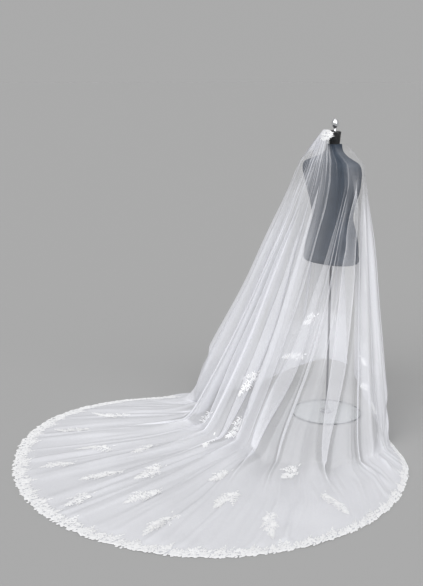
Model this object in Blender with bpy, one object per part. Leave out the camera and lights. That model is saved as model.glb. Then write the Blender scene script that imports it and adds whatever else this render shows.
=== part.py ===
"""Cathedral veil with a lace edging, standing on a limbless dress form.

Metres, +Z up. The origin is the middle of the round base, on the floor.
The form faces -Y, its left is +X, and the train lies along +Y.
"""

import copy
import math

import bmesh
import bpy
import numpy as np

# Driving dimensions of the dress form
BASE_DIAMETER = 0.380
BASE_THICKNESS = 0.010
BASE_ROUND_OFF = 0.0025
BASE_SIDES = 48
BOSS_DIAMETER = 0.058
BOSS_HEIGHT = 0.012
BOSS_SIDES = 32
POLE_DIAMETER = 0.012
POLE_SIDES = 20
TORSO_BOTTOM = 0.856
NECK_BOTTOM = 1.478
NECK_TOP = 1.544
NECK_RADIUS_BOTTOM = 0.027
NECK_RADIUS_TOP = 0.033
NECK_SIDES = 32
FINIAL_TOP = 1.610
FINIAL_RADIUS = 0.019
FINIAL_STEM_RADIUS = 0.007
FINIAL_STEM_HEIGHT = 0.016
FINIAL_FOOT_RADIUS = 0.0105
FINIAL_FOOT_HEIGHT = 0.005
FINIAL_TIP_RADIUS = 0.0025
FINIAL_RINGS = 8
FINIAL_SIDES = 20
SEAM = 0.0003
SHARP_ANGLE = math.radians(35)

# The boss, as parts of its radius and height
BOSS_PROFILE = [
    # radius_part, height_part
    (1.0, 0.0),
    (1.0, 0.4),
    (0.8, 0.8),
    (0.6, 1.0),
]

# The rounded crown of the neck block
NECK_CROWN = [
    # below_top, inset
    (0.0080, 0.0000),
    (0.0024, 0.0030),
    (0.0000, 0.0100),
]

# Driving dimensions of the veil
TULLE_WALL = 0.0014
LACE_WALL = 0.0010
LACE_LIFT = 0.0004
GATHER_HEIGHT = 1.553
GATHER_HALF_WIDTH = 0.042
GATHER_DEPTH = 0.022
GATHER_CENTRE_Y = 0.036
GATHER_HALF_ANGLE = math.radians(105)
GATHER_END_DROP = 0.010
SHOULDER_CENTRE_Y = 0.030
HANG_SAG = 0.27
FLOOR_FILLET = 0.08
LACE_BAND = 0.11

# Driving dimensions of the comb
COMB_BAR_HEIGHT = 0.012
COMB_BAR_THICKNESS = 0.003
COMB_BAR_TOP = GATHER_HEIGHT
COMB_HALF_ANGLE = math.radians(64)
COMB_TEETH = 12
COMB_TIP_HALF_WIDTH = 0.0007
COMB_TIP_THICKNESS = 0.0012
COMB_TIP_HEIGHT = 1.496

# Torso sections, bottom to top
TORSO_SECTIONS = [
    # height, half_width, front, back, middle_y
    (0.856, 0.150, 0.090, 0.094, 0.000),
    (0.860, 0.155, 0.094, 0.098, 0.000),
    (0.905, 0.160, 0.098, 0.101, 0.000),
    (0.960, 0.155, 0.097, 0.099, 0.000),
    (1.030, 0.136, 0.090, 0.089, 0.000),
    (1.100, 0.118, 0.084, 0.082, 0.000),
    (1.170, 0.130, 0.095, 0.083, 0.002),
    (1.240, 0.152, 0.110, 0.086, 0.006),
    (1.300, 0.169, 0.104, 0.086, 0.012),
    (1.345, 0.180, 0.088, 0.082, 0.018),
    (1.372, 0.178, 0.074, 0.074, 0.022),
    (1.388, 0.164, 0.064, 0.066, 0.022),
    (1.402, 0.128, 0.055, 0.058, 0.018),
    (1.418, 0.086, 0.048, 0.050, 0.010),
    (1.438, 0.054, 0.042, 0.043, 0.004),
    (1.4777, 0.037, 0.036, 0.036, 0.000),
]
TORSO_SIDES = 32
TORSO_SQUARENESS = 0.86

# Where the cloth passes over the shoulders, by share of the half veil
SHOULDER_RING = [
    # share, bearing, reach, height
    (0.00, 0, 0.094, 1.390),
    (0.25, 26, 0.103, 1.388),
    (0.45, 55, 0.130, 1.386),
    (0.60, 80, 0.178, 1.384),
    (0.72, 100, 0.189, 1.382),
    (0.84, 125, 0.167, 1.372),
    (0.92, 145, 0.158, 1.362),
    (1.00, 164, 0.158, 1.352),
]

# The hem on the floor, left half; bearing is from the train's middle, reach from the pole
HEM_LEFT = [
    # share, bearing, reach, landing, lift
    (0.00, 0.0, 1.840, 0.680, 0.000),
    (0.10, 10.0, 1.812, 0.740, 0.000),
    (0.20, 20.5, 1.738, 0.700, 0.000),
    (0.30, 31.0, 1.640, 0.780, 0.000),
    (0.40, 42.0, 1.475, 0.660, 0.000),
    (0.48, 51.0, 1.235, 0.680, 0.000),
    (0.54, 57.5, 0.985, 0.800, 0.000),
    (0.60, 64.0, 0.865, 0.800, 0.000),
    (0.66, 71.0, 0.735, 0.690, 0.000),
    (0.72, 79.0, 0.590, 0.575, 0.010),
    (0.78, 90.0, 0.460, 0.460, 0.060),
    (0.86, 113.0, 0.325, 0.325, 0.160),
    (0.93, 142.0, 0.250, 0.250, 0.215),
    (1.00, 171.0, 0.219, 0.219, 0.205),
]

# The hem on the floor, right half
HEM_RIGHT = [
    # share, bearing, reach, landing, lift
    (0.00, 0.0, 1.840, 0.680, 0.000),
    (0.10, 9.5, 1.828, 0.700, 0.000),
    (0.20, 20.0, 1.768, 0.750, 0.000),
    (0.30, 31.0, 1.633, 0.750, 0.000),
    (0.40, 42.3, 1.430, 0.720, 0.000),
    (0.50, 53.0, 1.195, 0.660, 0.000),
    (0.58, 62.2, 0.969, 0.600, 0.000),
    (0.66, 70.6, 0.768, 0.550, 0.000),
    (0.72, 77.0, 0.575, 0.505, 0.000),
    (0.78, 86.0, 0.430, 0.400, 0.000),
    (0.86, 110.0, 0.290, 0.272, 0.000),
    (0.93, 145.0, 0.232, 0.228, 0.040),
    (1.00, 176.0, 0.219, 0.219, 0.150),
]

# How much the hanging cloth sags, by share of the half veil
SAG_BY_SHARE = [
    # share, part_of_full_sag
    (0.00, 1.00),
    (0.55, 1.00),
    (0.72, 0.25),
    (1.00, 0.00),
]

# The main folds, right edge to left edge; swell is halfway down, foot is where they land
FOLDS = [
    # share, swell, foot
    (-0.930, 0.018, 0.020),
    (-0.810, 0.022, 0.024),
    (-0.690, 0.024, 0.026),
    (-0.580, 0.024, 0.030),
    (-0.475, 0.022, 0.030),
    (-0.370, 0.040, 0.046),
    (-0.270, 0.018, 0.024),
    (-0.180, 0.038, 0.046),
    (-0.100, 0.018, 0.024),
    (-0.035, 0.030, 0.040),
    (0.045, 0.022, 0.030),
    (0.130, 0.034, 0.046),
    (0.200, 0.024, 0.032),
    (0.270, 0.034, 0.046),
    (0.345, 0.026, 0.036),
    (0.430, 0.038, 0.056),
    (0.510, 0.036, 0.060),
    (0.595, 0.034, 0.056),
    (0.680, 0.026, 0.040),
    (0.780, 0.024, 0.026),
    (0.890, 0.020, 0.020),
]

# How tall a fold is along a thread, as parts of its swell and foot
FOLD_STAGES = [
    # stage, swell_part, foot_part
    (0.0, 0.00, 0.00),
    (0.5, 0.00, 0.00),
    (1.0, 0.08, 0.00),
    (1.5, 1.00, 0.00),
    (2.0, 0.00, 1.00),
    (2.3, 0.00, 0.35),
    (2.7, 0.00, 0.18),
    (3.0, 0.00, 0.06),
]

# Rows of the wall: stage 0 is the comb, 1 the shoulders, 2 the landing, 3 the lace band
WALL_ROWS = [0.0, 0.5, 1.0, 1.17, 1.38, 1.6, 1.78, 1.92, 2.06, 2.2, 2.5, 3.0]
BAND_ROWS = 1
FLAT_ROWS = 2
GATHER_THINNING = 2
PATH_POINTS_SLOPING = 24
PATH_POINTS_HANGING = 240
LATEST_LANDING = 0.80

# One repeat of the lace edging, along its pitch and in from the hem
EDGING_REPEATS = 38
EDGING_FROM_SHARE = -0.78
EDGING_TO_SHARE = 0.57
EDGING_END_MARGIN = 0.02
EDGING_END_OUTER = 0.002
EDGING_END_INNER = 0.046
EDGING_SHORT_LEAF = 0.82
EDGING_OUTER = [
    # along, inward
    (0.00, 0.0090),
    (0.50, 0.0012),
]
EDGING_INNER = [
    # along, inward
    (0.20, 0.052),
    (0.56, 0.102),
    (0.80, 0.046),
]
EDGING_EYELET = [
    # along, inward
    (0.40, 0.028),
    (0.54, 0.018),
    (0.68, 0.029),
    (0.54, 0.042),
]

# One spray of lace, as parts of its half length and half width
SPRAY_OUTLINE = [
    # along, across
    (-1.00, 0.00),
    (-0.62, -0.26),
    (-0.46, -0.92),
    (-0.22, -0.30),
    (0.06, -0.80),
    (0.22, -0.24),
    (0.62, -0.66),
    (0.60, -0.20),
    (1.00, 0.06),
    (0.56, 0.24),
    (0.40, 0.78),
    (0.14, 0.28),
    (-0.10, 1.00),
    (-0.30, 0.34),
    (-0.72, 0.66),
    (-0.66, 0.18),
]

# Sprays of lace on the tulle; up is the distance from the hem, turn is from the thread
SPRAYS = [
    # share, up, turn, length, width
    (0.385, 0.300, 30, 0.240, 0.110),
    (0.305, 0.225, 25, 0.200, 0.110),
    (0.197, 0.410, 10, 0.195, 0.110),
    (0.140, 0.670, -15, 0.154, 0.115),
    (0.155, 0.225, 5, 0.180, 0.110),
    (0.072, 0.400, 10, 0.216, 0.120),
    (0.015, 0.600, -5, 0.209, 0.125),
    (0.010, 0.200, -5, 0.165, 0.115),
    (-0.055, 0.420, 5, 0.216, 0.125),
    (-0.140, 0.245, -5, 0.235, 0.125),
    (0.230, 1.020, 15, 0.127, 0.075),
    (0.075, 1.020, -30, 0.177, 0.080),
    (0.030, 1.200, 20, 0.143, 0.080),
    (-0.125, 0.780, 15, 0.149, 0.110),
    (-0.195, 0.530, 5, 0.200, 0.130),
    (-0.295, 0.255, -20, 0.230, 0.150),
    (-0.285, 0.800, 15, 0.177, 0.100),
    (-0.400, 0.300, -30, 0.240, 0.120),
    (-0.940, 0.230, 75, 0.100, 0.060),
    (0.050, 1.420, 20, 0.165, 0.080),
    (-0.900, 0.760, 15, 0.129, 0.050),
    (0.735, 0.080, -70, 0.112, 0.065),
    (0.835, 0.085, -75, 0.160, 0.080),
    (0.870, 0.280, -50, 0.100, 0.070),
    (-0.938, 0.085, -75, 0.140, 0.060),
    (-0.855, 0.080, 85, 0.120, 0.060),
]

# The lace sewn over the comb, as parts of its half width and half height
COMB_LACE_HALF_WIDTH = 0.042
COMB_LACE_HALF_HEIGHT = 0.028
COMB_LACE_MIDDLE = 0.030
COMB_LACE_LIFT = 0.0008
COMB_LACE_OUTLINE = [
    # across, down
    (-0.62, -0.98),
    (-0.20, -0.84),
    (0.24, -1.00),
    (0.62, -0.80),
    (1.00, -0.52),
    (0.84, -0.05),
    (0.98, 0.42),
    (0.58, 0.58),
    (0.34, 1.00),
    (0.06, 0.70),
    (-0.30, 0.96),
    (-0.56, 0.56),
    (-1.00, 0.38),
    (-0.82, -0.08),
    (-0.96, -0.56),
]
COMB_LACE_EYELETS = [
    # across, down
    (-0.50, -0.30),
    (0.50, -0.30),
    (0.00, 0.30),
]
EYELET_HALF_WIDTH = 0.0045
EYELET_HALF_HEIGHT = 0.0060

# Colours and finishes
FINISHES = {
    # name: red, green, blue, roughness, metallic
    "tulle": (0.88, 0.89, 0.93, 0.75, 0.0),
    "lace": (0.93, 0.93, 0.95, 0.80, 0.0),
    "form_cloth": (0.031, 0.041, 0.055, 0.90, 0.0),
    "black_cap": (0.010, 0.011, 0.012, 0.45, 0.0),
    "chrome": (0.80, 0.81, 0.83, 0.12, 1.0),
    "comb_metal": (0.10, 0.103, 0.11, 0.40, 1.0),
    "glass": (0.80, 0.86, 0.86, 0.08, 0.0),
}


def clear_scene():
    """Remove whatever the file starts with."""
    for old in list(bpy.data.objects):
        bpy.data.objects.remove(old, do_unlink=True)


def make_finish(name):
    """A Principled material of one finish."""
    red, green, blue, roughness, metallic = FINISHES[name]
    finish = bpy.data.materials.new(name)
    finish.use_nodes = True
    shader = finish.node_tree.nodes["Principled BSDF"]
    shader.inputs["Base Color"].default_value = (red, green, blue, 1.0)
    shader.inputs["Roughness"].default_value = roughness
    shader.inputs["Metallic"].default_value = metallic
    return finish


def add_object(name, mesh, finish):
    """Put a mesh in the scene as one named piece."""
    piece = bpy.data.objects.new(name, mesh)
    bpy.context.scene.collection.objects.link(piece)
    mesh.materials.append(finish)
    mesh.shade_smooth()
    mesh.set_sharp_from_angle(angle=SHARP_ANGLE)
    return piece


def mesh_from(name, points, faces):
    """A mesh with its faces pointing out."""
    mesh = bpy.data.meshes.new(name)
    mesh.from_pydata([tuple(point) for point in points], [], faces)
    return mesh


def read_table(table, at, column):
    """A smooth curve, with no overshoot between its rows, through one column of a table."""
    stations = np.array([row[0] for row in table], dtype=float)
    values = np.array([row[column] for row in table], dtype=float)
    steps = np.diff(stations)
    rises = np.diff(values) / steps
    slopes = np.concatenate([rises[:1], np.zeros(len(rises) - 1), rises[-1:]])
    slopes[1:-1] = (rises[:-1] * steps[1:] + rises[1:] * steps[:-1]) / (steps[:-1] + steps[1:])
    slopes[1:-1] = np.where(rises[:-1] * rises[1:] <= 0, 0.0, slopes[1:-1])
    row = int(np.clip(np.searchsorted(stations, at) - 1, 0, len(steps) - 1))
    part = float(np.clip((at - stations[row]) / steps[row], 0, 1))
    ease = part * part * (3 - 2 * part)
    leave = part * (1 - part) ** 2 * steps[row] * slopes[row]
    arrive = -part * part * (1 - part) * steps[row] * slopes[row + 1]
    return float(values[row] * (1 - ease) + values[row + 1] * ease + leave + arrive)


def turned_solid(name, profile, sides, finish):
    """A solid turned about the Z axis, from a profile of (radius, height) rows, bottom to top."""
    points = []
    faces = []
    for radius, height in profile:
        for side in range(sides):
            angle = 2 * math.pi * side / sides
            points.append((radius * math.cos(angle), radius * math.sin(angle), height))
    for ring in range(len(profile) - 1):
        for side in range(sides):
            after = (side + 1) % sides
            low = ring * sides
            high = low + sides
            faces.append((low + side, low + after, high + after, high + side))
    faces.append(tuple(reversed(range(sides))))
    last = (len(profile) - 1) * sides
    faces.append(tuple(range(last, last + sides)))
    return add_object(name, mesh_from(name, points, faces), finish)


def build_stand(glass, chrome):
    """The round glass base, the boss on it and the pole."""
    radius = BASE_DIAMETER / 2
    base_profile = [
        (radius - BASE_ROUND_OFF, 0.0),
        (radius, BASE_ROUND_OFF),
        (radius, BASE_THICKNESS - BASE_ROUND_OFF),
        (radius - BASE_ROUND_OFF, BASE_THICKNESS),
    ]
    turned_solid("base_plate", base_profile, BASE_SIDES, glass)
    boss_bottom = BASE_THICKNESS + SEAM
    boss_profile = [
        (BOSS_DIAMETER / 2 * radius_part, boss_bottom + BOSS_HEIGHT * height_part)
        for radius_part, height_part in BOSS_PROFILE
    ]
    turned_solid("base_boss", boss_profile, BOSS_SIDES, chrome)
    pole_radius = POLE_DIAMETER / 2
    pole_profile = [
        (pole_radius, boss_bottom + BOSS_HEIGHT + SEAM),
        (pole_radius, TORSO_BOTTOM - SEAM),
    ]
    turned_solid("pole", pole_profile, POLE_SIDES, chrome)


def build_torso(cloth):
    """The padded torso, through its sections."""
    points = []
    faces = []
    for height, half_width, front, back, middle in TORSO_SECTIONS:
        for side in range(TORSO_SIDES):
            angle = 2 * math.pi * side / TORSO_SIDES
            across = math.copysign(abs(math.cos(angle)) ** TORSO_SQUARENESS, math.cos(angle))
            deep = math.copysign(abs(math.sin(angle)) ** TORSO_SQUARENESS, math.sin(angle))
            depth = back if deep > 0 else front
            points.append((half_width * across, middle + depth * deep, height))
    for ring in range(len(TORSO_SECTIONS) - 1):
        for side in range(TORSO_SIDES):
            after = (side + 1) % TORSO_SIDES
            low = ring * TORSO_SIDES
            high = low + TORSO_SIDES
            faces.append((low + side, low + after, high + after, high + side))
    faces.append(tuple(reversed(range(TORSO_SIDES))))
    last = (len(TORSO_SECTIONS) - 1) * TORSO_SIDES
    faces.append(tuple(range(last, last + TORSO_SIDES)))
    add_object("torso", mesh_from("torso", points, faces), cloth)


def neck_radius(height):
    """Radius of the neck block's straight flank at a height."""
    part = (height - NECK_BOTTOM) / (NECK_TOP - NECK_BOTTOM)
    return NECK_RADIUS_BOTTOM + (NECK_RADIUS_TOP - NECK_RADIUS_BOTTOM) * part


def build_neck(black, chrome):
    """The black neck block and the egg-shaped finial on its stem."""
    neck_profile = [(NECK_RADIUS_BOTTOM, NECK_BOTTOM)]
    for below_top, inset in NECK_CROWN:
        height = NECK_TOP - below_top
        neck_profile.append((neck_radius(height) - inset, height))
    turned_solid("neck_block", neck_profile, NECK_SIDES, black)
    egg_bottom = NECK_TOP + FINIAL_STEM_HEIGHT
    egg_height = FINIAL_TOP - egg_bottom
    first_angle = math.radians(40)
    last_angle = math.radians(157)
    fuller_below = 0.12
    profile = [
        (FINIAL_FOOT_RADIUS, NECK_TOP + SEAM),
        (FINIAL_STEM_RADIUS, NECK_TOP + FINIAL_FOOT_HEIGHT),
        (FINIAL_STEM_RADIUS, egg_bottom),
    ]
    for ring in range(FINIAL_RINGS):
        angle = first_angle + (last_angle - first_angle) * ring / (FINIAL_RINGS - 1)
        radius = FINIAL_RADIUS * math.sin(angle) * (1 + fuller_below * math.cos(angle))
        profile.append((radius, egg_bottom + egg_height * (1 - math.cos(angle)) / 2))
    profile.append((FINIAL_TIP_RADIUS, FINIAL_TOP))
    turned_solid("finial", profile, FINIAL_SIDES, chrome)


def bow_point(angle, inset):
    """A point on the gather's bow, seen from above, or inset from it."""
    x = (GATHER_HALF_WIDTH - inset) * math.sin(angle)
    y = GATHER_CENTRE_Y + (GATHER_DEPTH - inset) * math.cos(angle)
    return x, y


def bow_drop(angle):
    """How far the gather has dropped at an angle round its bow."""
    return GATHER_END_DROP * (angle / GATHER_HALF_ANGLE) ** 2


def gather_point(share):
    """Top of a thread, on the bowed comb."""
    angle = GATHER_HALF_ANGLE * share
    x, y = bow_point(angle, 0.0)
    return np.array([x, y, GATHER_HEIGHT - bow_drop(angle)])


def shoulder_point(share):
    """Where a thread passes over the shoulders."""
    bearing = math.copysign(math.radians(read_table(SHOULDER_RING, abs(share), 1)), share)
    reach = read_table(SHOULDER_RING, abs(share), 2)
    height = read_table(SHOULDER_RING, abs(share), 3)
    return np.array([
        reach * math.sin(bearing),
        SHOULDER_CENTRE_Y + reach * math.cos(bearing),
        height,
    ])


def hem_row(share):
    """Bearing (signed, radians), reach, landing and lift of the hem."""
    table = HEM_LEFT if share >= 0 else HEM_RIGHT
    bearing, reach, landing, lift = [read_table(table, abs(share), column) for column in range(1, 5)]
    return math.copysign(math.radians(bearing), share), reach, landing, max(lift, 0.0)


def thread_path(share):
    """Points along one thread from comb to hem, and where it passes the shoulders and lands."""
    top = gather_point(share)
    shoulder = shoulder_point(share)
    bearing, reach, landing, lift = hem_row(share)
    outward = np.array([math.sin(bearing), math.cos(bearing)])
    run = outward * reach - shoulder[:2]
    run_length = math.hypot(run[0], run[1])
    heading = run / run_length
    land_at = float((outward * landing - shoulder[:2]) @ heading)
    sag = HANG_SAG * read_table(SAG_BY_SHARE, abs(share), 1)
    gone = np.linspace(0, 1, PATH_POINTS_HANGING) * run_length
    part = gone / land_at
    line = shoulder[2] * (1 - (1 + sag) * part + sag * part * part)
    curve = (line + FLOOR_FILLET) ** 2 / (4 * FLOOR_FILLET)
    height = np.where(line > FLOOR_FILLET, line, np.where(line < -FLOOR_FILLET, 0.0, curve))
    height = height + lift * np.minimum(part, 1.0)
    hanging = np.stack([shoulder[0] + heading[0] * gone, shoulder[1] + heading[1] * gone, height], axis=1)
    slope = np.linspace(0, 1, PATH_POINTS_SLOPING)[:-1, None]
    sloping = top + (shoulder - top) * slope
    path = np.concatenate([sloping, hanging])
    steps = np.linalg.norm(np.diff(path, axis=0), axis=1)
    lengths = np.concatenate([[0.0], np.cumsum(steps)])
    shoulder_length = lengths[len(sloping)]
    landing_length = float(np.interp(land_at, gone, lengths[len(sloping):]))
    return path, lengths, shoulder_length, landing_length


def fold_shares():
    """Columns of the wall: each fold's valley, flank, ridge and flank."""
    ridges = [row[0] for row in FOLDS]
    valleys = [-1.0] + [(a + b) / 2 for a, b in zip(ridges, ridges[1:])] + [1.0]
    columns = []
    for ridge, before, after in zip(ridges, valleys, valleys[1:]):
        columns += [before, (before + ridge) / 2, ridge, (ridge + after) / 2]
    columns.append(1.0)
    return columns, ridges, valleys


def fold_height(share, stage, ridges, valleys):
    """How far the cloth stands out from its base surface."""
    index = int(np.clip(np.searchsorted(valleys, share) - 1, 0, len(ridges) - 1))
    ridge = ridges[index]
    edge = valleys[index] if share < ridge else valleys[index + 1]
    away = min(abs(share - ridge) / abs(edge - ridge), 1.0)
    shape = 0.5 + 0.5 * math.cos(math.pi * away)
    swell_part = read_table(FOLD_STAGES, stage, 1)
    foot_part = read_table(FOLD_STAGES, stage, 2)
    return shape * (FOLDS[index][1] * swell_part + FOLDS[index][2] * foot_part)


def cell_facets(column, row, share):
    """The two facets of a cell, as (column, row) corners; they mirror from one half to the other."""
    a = (column, row)
    b = (column + 1, row)
    c = (column + 1, row + 1)
    d = (column, row + 1)
    if share >= 0:
        return [(a, b, c), (a, c, d)]
    return [(a, b, d), (b, c, d)]


def wall_faces(columns, rows, shares):
    """Faces of a wall whose inner points come first and whose outer points follow, column by column."""
    lift = columns * rows

    def index(corner):
        return corner[0] * rows + corner[1]

    faces = []
    for column in range(columns - 1):
        for row in range(rows - 1):
            for facet in cell_facets(column, row, shares[column]):
                i, j, k = [index(corner) for corner in facet]
                faces.append((i, k, j))
                faces.append((i + lift, j + lift, k + lift))
        top = index((column, 0))
        hem = index((column, rows - 1))
        faces.append((top, top + rows, top + rows + lift, top + lift))
        faces.append((hem, hem + lift, hem + rows + lift, hem + rows))
    for row in range(rows - 1):
        right = index((0, row))
        left = index((columns - 1, row))
        faces.append((right, right + lift, right + 1 + lift, right + 1))
        faces.append((left, left + 1, left + 1 + lift, left + lift))
    return faces


def grid_normals(grid):
    """Outward normals of a grid of points, columns by rows."""
    along = np.gradient(grid, axis=0)
    down = np.gradient(grid, axis=1)
    normals = np.cross(along, down)
    return normals / np.linalg.norm(normals, axis=2, keepdims=True)


# The flat layer that lace is cut from: its height, and its metres to one share of the veil
FLAT_HEIGHT = 0.1
SHARE_SCALE = 2.0
INSIDE_TOLERANCE = 0.000001
MERGE_DISTANCE = 0.000001


class VeilGrid:
    """The wall's inner surface: columns of threads, rows from comb to hem."""

    def __init__(self):
        self.shares, ridges, valleys = fold_shares()
        stages = WALL_ROWS + [3.0] * BAND_ROWS
        base = []
        self.runs = []
        for share in self.shares:
            path, lengths, shoulder, landing = thread_path(share)
            band = lengths[-1] - LACE_BAND
            landing = min(landing, shoulder + LATEST_LANDING * (band - shoulder))
            runs = [float(np.interp(row, [0, 1, 2, 3], [0, shoulder, landing, band])) for row in WALL_ROWS]
            for row in range(1, BAND_ROWS + 1):
                runs.append(band + LACE_BAND * row / BAND_ROWS)
            self.runs.append(runs)
            base.append([[np.interp(run, lengths, path[:, axis]) for axis in range(3)] for run in runs])
        base = np.array(base)
        out = grid_normals(base)
        rise = np.array([
            [fold_height(share, stage, ridges, valleys) for stage in stages] for share in self.shares
        ])
        self.points = base + out * rise[:, :, None]
        self.points[:, :, 2] = np.maximum(self.points[:, :, 2], 0.0)
        self.runs = np.array(self.runs)
        self.normals = grid_normals(self.points)
        self.normals[:, :FLAT_ROWS] = out[:, :FLAT_ROWS]

    def thinned(self):
        """The same surface with every second column, for where the folds are still flat."""
        thin = copy.copy(self)
        thin.shares = self.shares[::GATHER_THINNING]
        thin.runs = self.runs[::GATHER_THINNING]
        thin.points = self.points[::GATHER_THINNING]
        thin.normals = self.normals[::GATHER_THINNING]
        return thin

    def column_of(self, share):
        """The column at or before a share, and how far past it the share is."""
        column = int(np.clip(np.searchsorted(self.shares, share) - 1, 0, len(self.shares) - 2))
        part = (share - self.shares[column]) / (self.shares[column + 1] - self.shares[column])
        return column, part

    def hem_run(self, share):
        """Length of the thread at a share, from comb to hem."""
        column, part = self.column_of(share)
        return float(self.runs[column, -1] * (1 - part) + self.runs[column + 1, -1] * part)

    def place(self, share, run, lift):
        """A point on the facets of the wall, moved out by lift."""
        column, part = self.column_of(share)
        rows = self.runs[column] * (1 - part) + self.runs[column + 1] * part
        row = int(np.clip(np.searchsorted(rows, run) - 1, 0, len(rows) - 2))
        for facet in cell_facets(column, row, self.shares[column]):
            corners = np.array([(self.shares[corner[0]], self.runs[corner]) for corner in facet])
            sides = np.stack([corners[1] - corners[0], corners[2] - corners[0]], axis=1)
            second, third = np.linalg.solve(sides, np.array([share, run]) - corners[0])
            parts = (1 - second - third, second, third)
            if min(parts) > -INSIDE_TOLERANCE:
                break
        point = sum(part * self.points[corner] for part, corner in zip(parts, facet))
        normal = sum(part * self.normals[corner] for part, corner in zip(parts, facet))
        return point + normal * lift

    def pace(self, share, run):
        """Metres across the threads for one whole share, at a run."""
        step = 0.02
        left = self.place(max(share - step, -1.0), run, 0.0)
        right = self.place(min(share + step, 1.0), run, 0.0)
        return float(np.linalg.norm(right - left)) / (min(share + step, 1.0) - max(share - step, -1.0))


def build_veil(grid, tulle):
    """The one piece of tulle, as a wall."""
    columns, rows = grid.points.shape[:2]
    inner = grid.points.reshape(-1, 3)
    outer = (grid.points + grid.normals * TULLE_WALL).reshape(-1, 3)
    points = np.concatenate([inner, outer])
    faces = wall_faces(columns, rows, grid.shares)
    add_object("veil", mesh_from("veil", points, faces), tulle)


def flat_layer(name, grid, shares, runs):
    """A flat layer of the wall's own facets, in share and run, round a stretch of the veil."""
    first = max(int(np.searchsorted(grid.shares, min(shares))) - 1, 0)
    last = min(int(np.searchsorted(grid.shares, max(shares))), len(grid.shares) - 1)
    stretch = grid.runs[first:last + 1]
    top = max(int(np.searchsorted(stretch.max(axis=0), min(runs))) - 1, 0)
    bottom = min(int(np.searchsorted(stretch.min(axis=0), max(runs))), stretch.shape[1] - 1)
    rows = bottom - top + 1
    points = []
    for height in (0.0, FLAT_HEIGHT):
        for column in range(first, last + 1):
            for row in range(top, bottom + 1):
                points.append((grid.shares[column] * SHARE_SCALE, grid.runs[column, row], height))
    faces = wall_faces(last - first + 1, rows, grid.shares[first:last + 1])
    layer = bpy.data.objects.new(name + "_layer", mesh_from(name + "_layer", points, faces))
    bpy.context.scene.collection.objects.link(layer)
    return layer


def flat_cutter(name, outlines):
    """A flat pattern piece with its holes, thick enough to cut the layer."""
    curve = bpy.data.curves.new(name + "_pattern", "CURVE")
    curve.dimensions = "2D"
    curve.fill_mode = "BOTH"
    curve.extrude = FLAT_HEIGHT
    for outline in outlines:
        spline = curve.splines.new("POLY")
        spline.points.add(len(outline) - 1)
        for point, (share, run) in zip(spline.points, outline):
            point.co = (share * SHARE_SCALE, run, 0.0, 1.0)
        spline.use_cyclic_u = True
    guide = bpy.data.objects.new(name + "_pattern", curve)
    bpy.context.scene.collection.objects.link(guide)
    bpy.context.view_layer.update()
    mesh = bpy.data.meshes.new_from_object(guide.evaluated_get(bpy.context.evaluated_depsgraph_get()))
    bpy.data.objects.remove(guide, do_unlink=True)
    shape = bmesh.new()
    shape.from_mesh(mesh)
    bmesh.ops.remove_doubles(shape, verts=shape.verts, dist=MERGE_DISTANCE)
    for vertex in shape.verts:
        vertex.co.z += FLAT_HEIGHT / 2
    bmesh.ops.recalc_face_normals(shape, faces=shape.faces)
    shape.to_mesh(mesh)
    shape.free()
    cutter = bpy.data.objects.new(name + "_cutter", mesh)
    bpy.context.scene.collection.objects.link(cutter)
    return cutter


def lay_lace(name, grid, outlines, finish, clearance=LACE_LIFT):
    """Cut a lace shape from a layer of the wall's facets and lay it on the tulle."""
    shares = [point[0] for outline in outlines for point in outline]
    runs = [point[1] for outline in outlines for point in outline]
    layer = flat_layer(name, grid, shares, runs)
    cutter = flat_cutter(name, outlines)
    cut = layer.modifiers.new("cut", "BOOLEAN")
    cut.operation = "INTERSECT"
    cut.object = cutter
    bpy.context.view_layer.update()
    mesh = bpy.data.meshes.new_from_object(layer.evaluated_get(bpy.context.evaluated_depsgraph_get()))
    bpy.data.objects.remove(layer, do_unlink=True)
    bpy.data.objects.remove(cutter, do_unlink=True)
    for vertex in mesh.vertices:
        lift = TULLE_WALL + clearance + LACE_WALL * vertex.co.z / FLAT_HEIGHT
        vertex.co = grid.place(vertex.co.x / SHARE_SCALE, vertex.co.y, lift)
    mesh.name = name
    mesh.materials.clear()
    return add_object(name, mesh, finish)


def build_edging(grid, lace):
    """The lace edging, along the part of the hem that lies on the floor, with its eyelets cut through."""
    hem = grid.points[:, -1]
    steps = np.linalg.norm(np.diff(hem, axis=0), axis=1)
    lengths = np.concatenate([[0.0], np.cumsum(steps)])
    first, last = np.interp([EDGING_FROM_SHARE, EDGING_TO_SHARE], grid.shares, lengths)
    pitch = (last - first) / EDGING_REPEATS

    def on_hem(repeat, along, inward):
        share = float(np.interp(first + (repeat + along) * pitch, lengths, grid.shares))
        return share, grid.hem_run(share) - inward

    outer = []
    inner = []
    eyelets = []
    outer.append(on_hem(0, EDGING_END_MARGIN, EDGING_END_OUTER))
    inner.append(on_hem(0, EDGING_END_MARGIN, EDGING_END_INNER))
    for repeat in range(EDGING_REPEATS):
        tall = 1.0 if repeat % 2 == 0 else EDGING_SHORT_LEAF
        outer += [
            on_hem(repeat, along, inward)
            for along, inward in EDGING_OUTER
            if repeat + along > EDGING_END_MARGIN
        ]
        inner += [on_hem(repeat, along, inward * tall) for along, inward in EDGING_INNER]
        eyelets.append([on_hem(repeat, along, inward) for along, inward in EDGING_EYELET])
    outer.append(on_hem(EDGING_REPEATS, -EDGING_END_MARGIN, EDGING_END_OUTER))
    inner.append(on_hem(EDGING_REPEATS, -EDGING_END_MARGIN, EDGING_END_INNER))
    outline = outer + inner[::-1]
    lay_lace("lace_edging", grid, [outline] + eyelets, lace)


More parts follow.
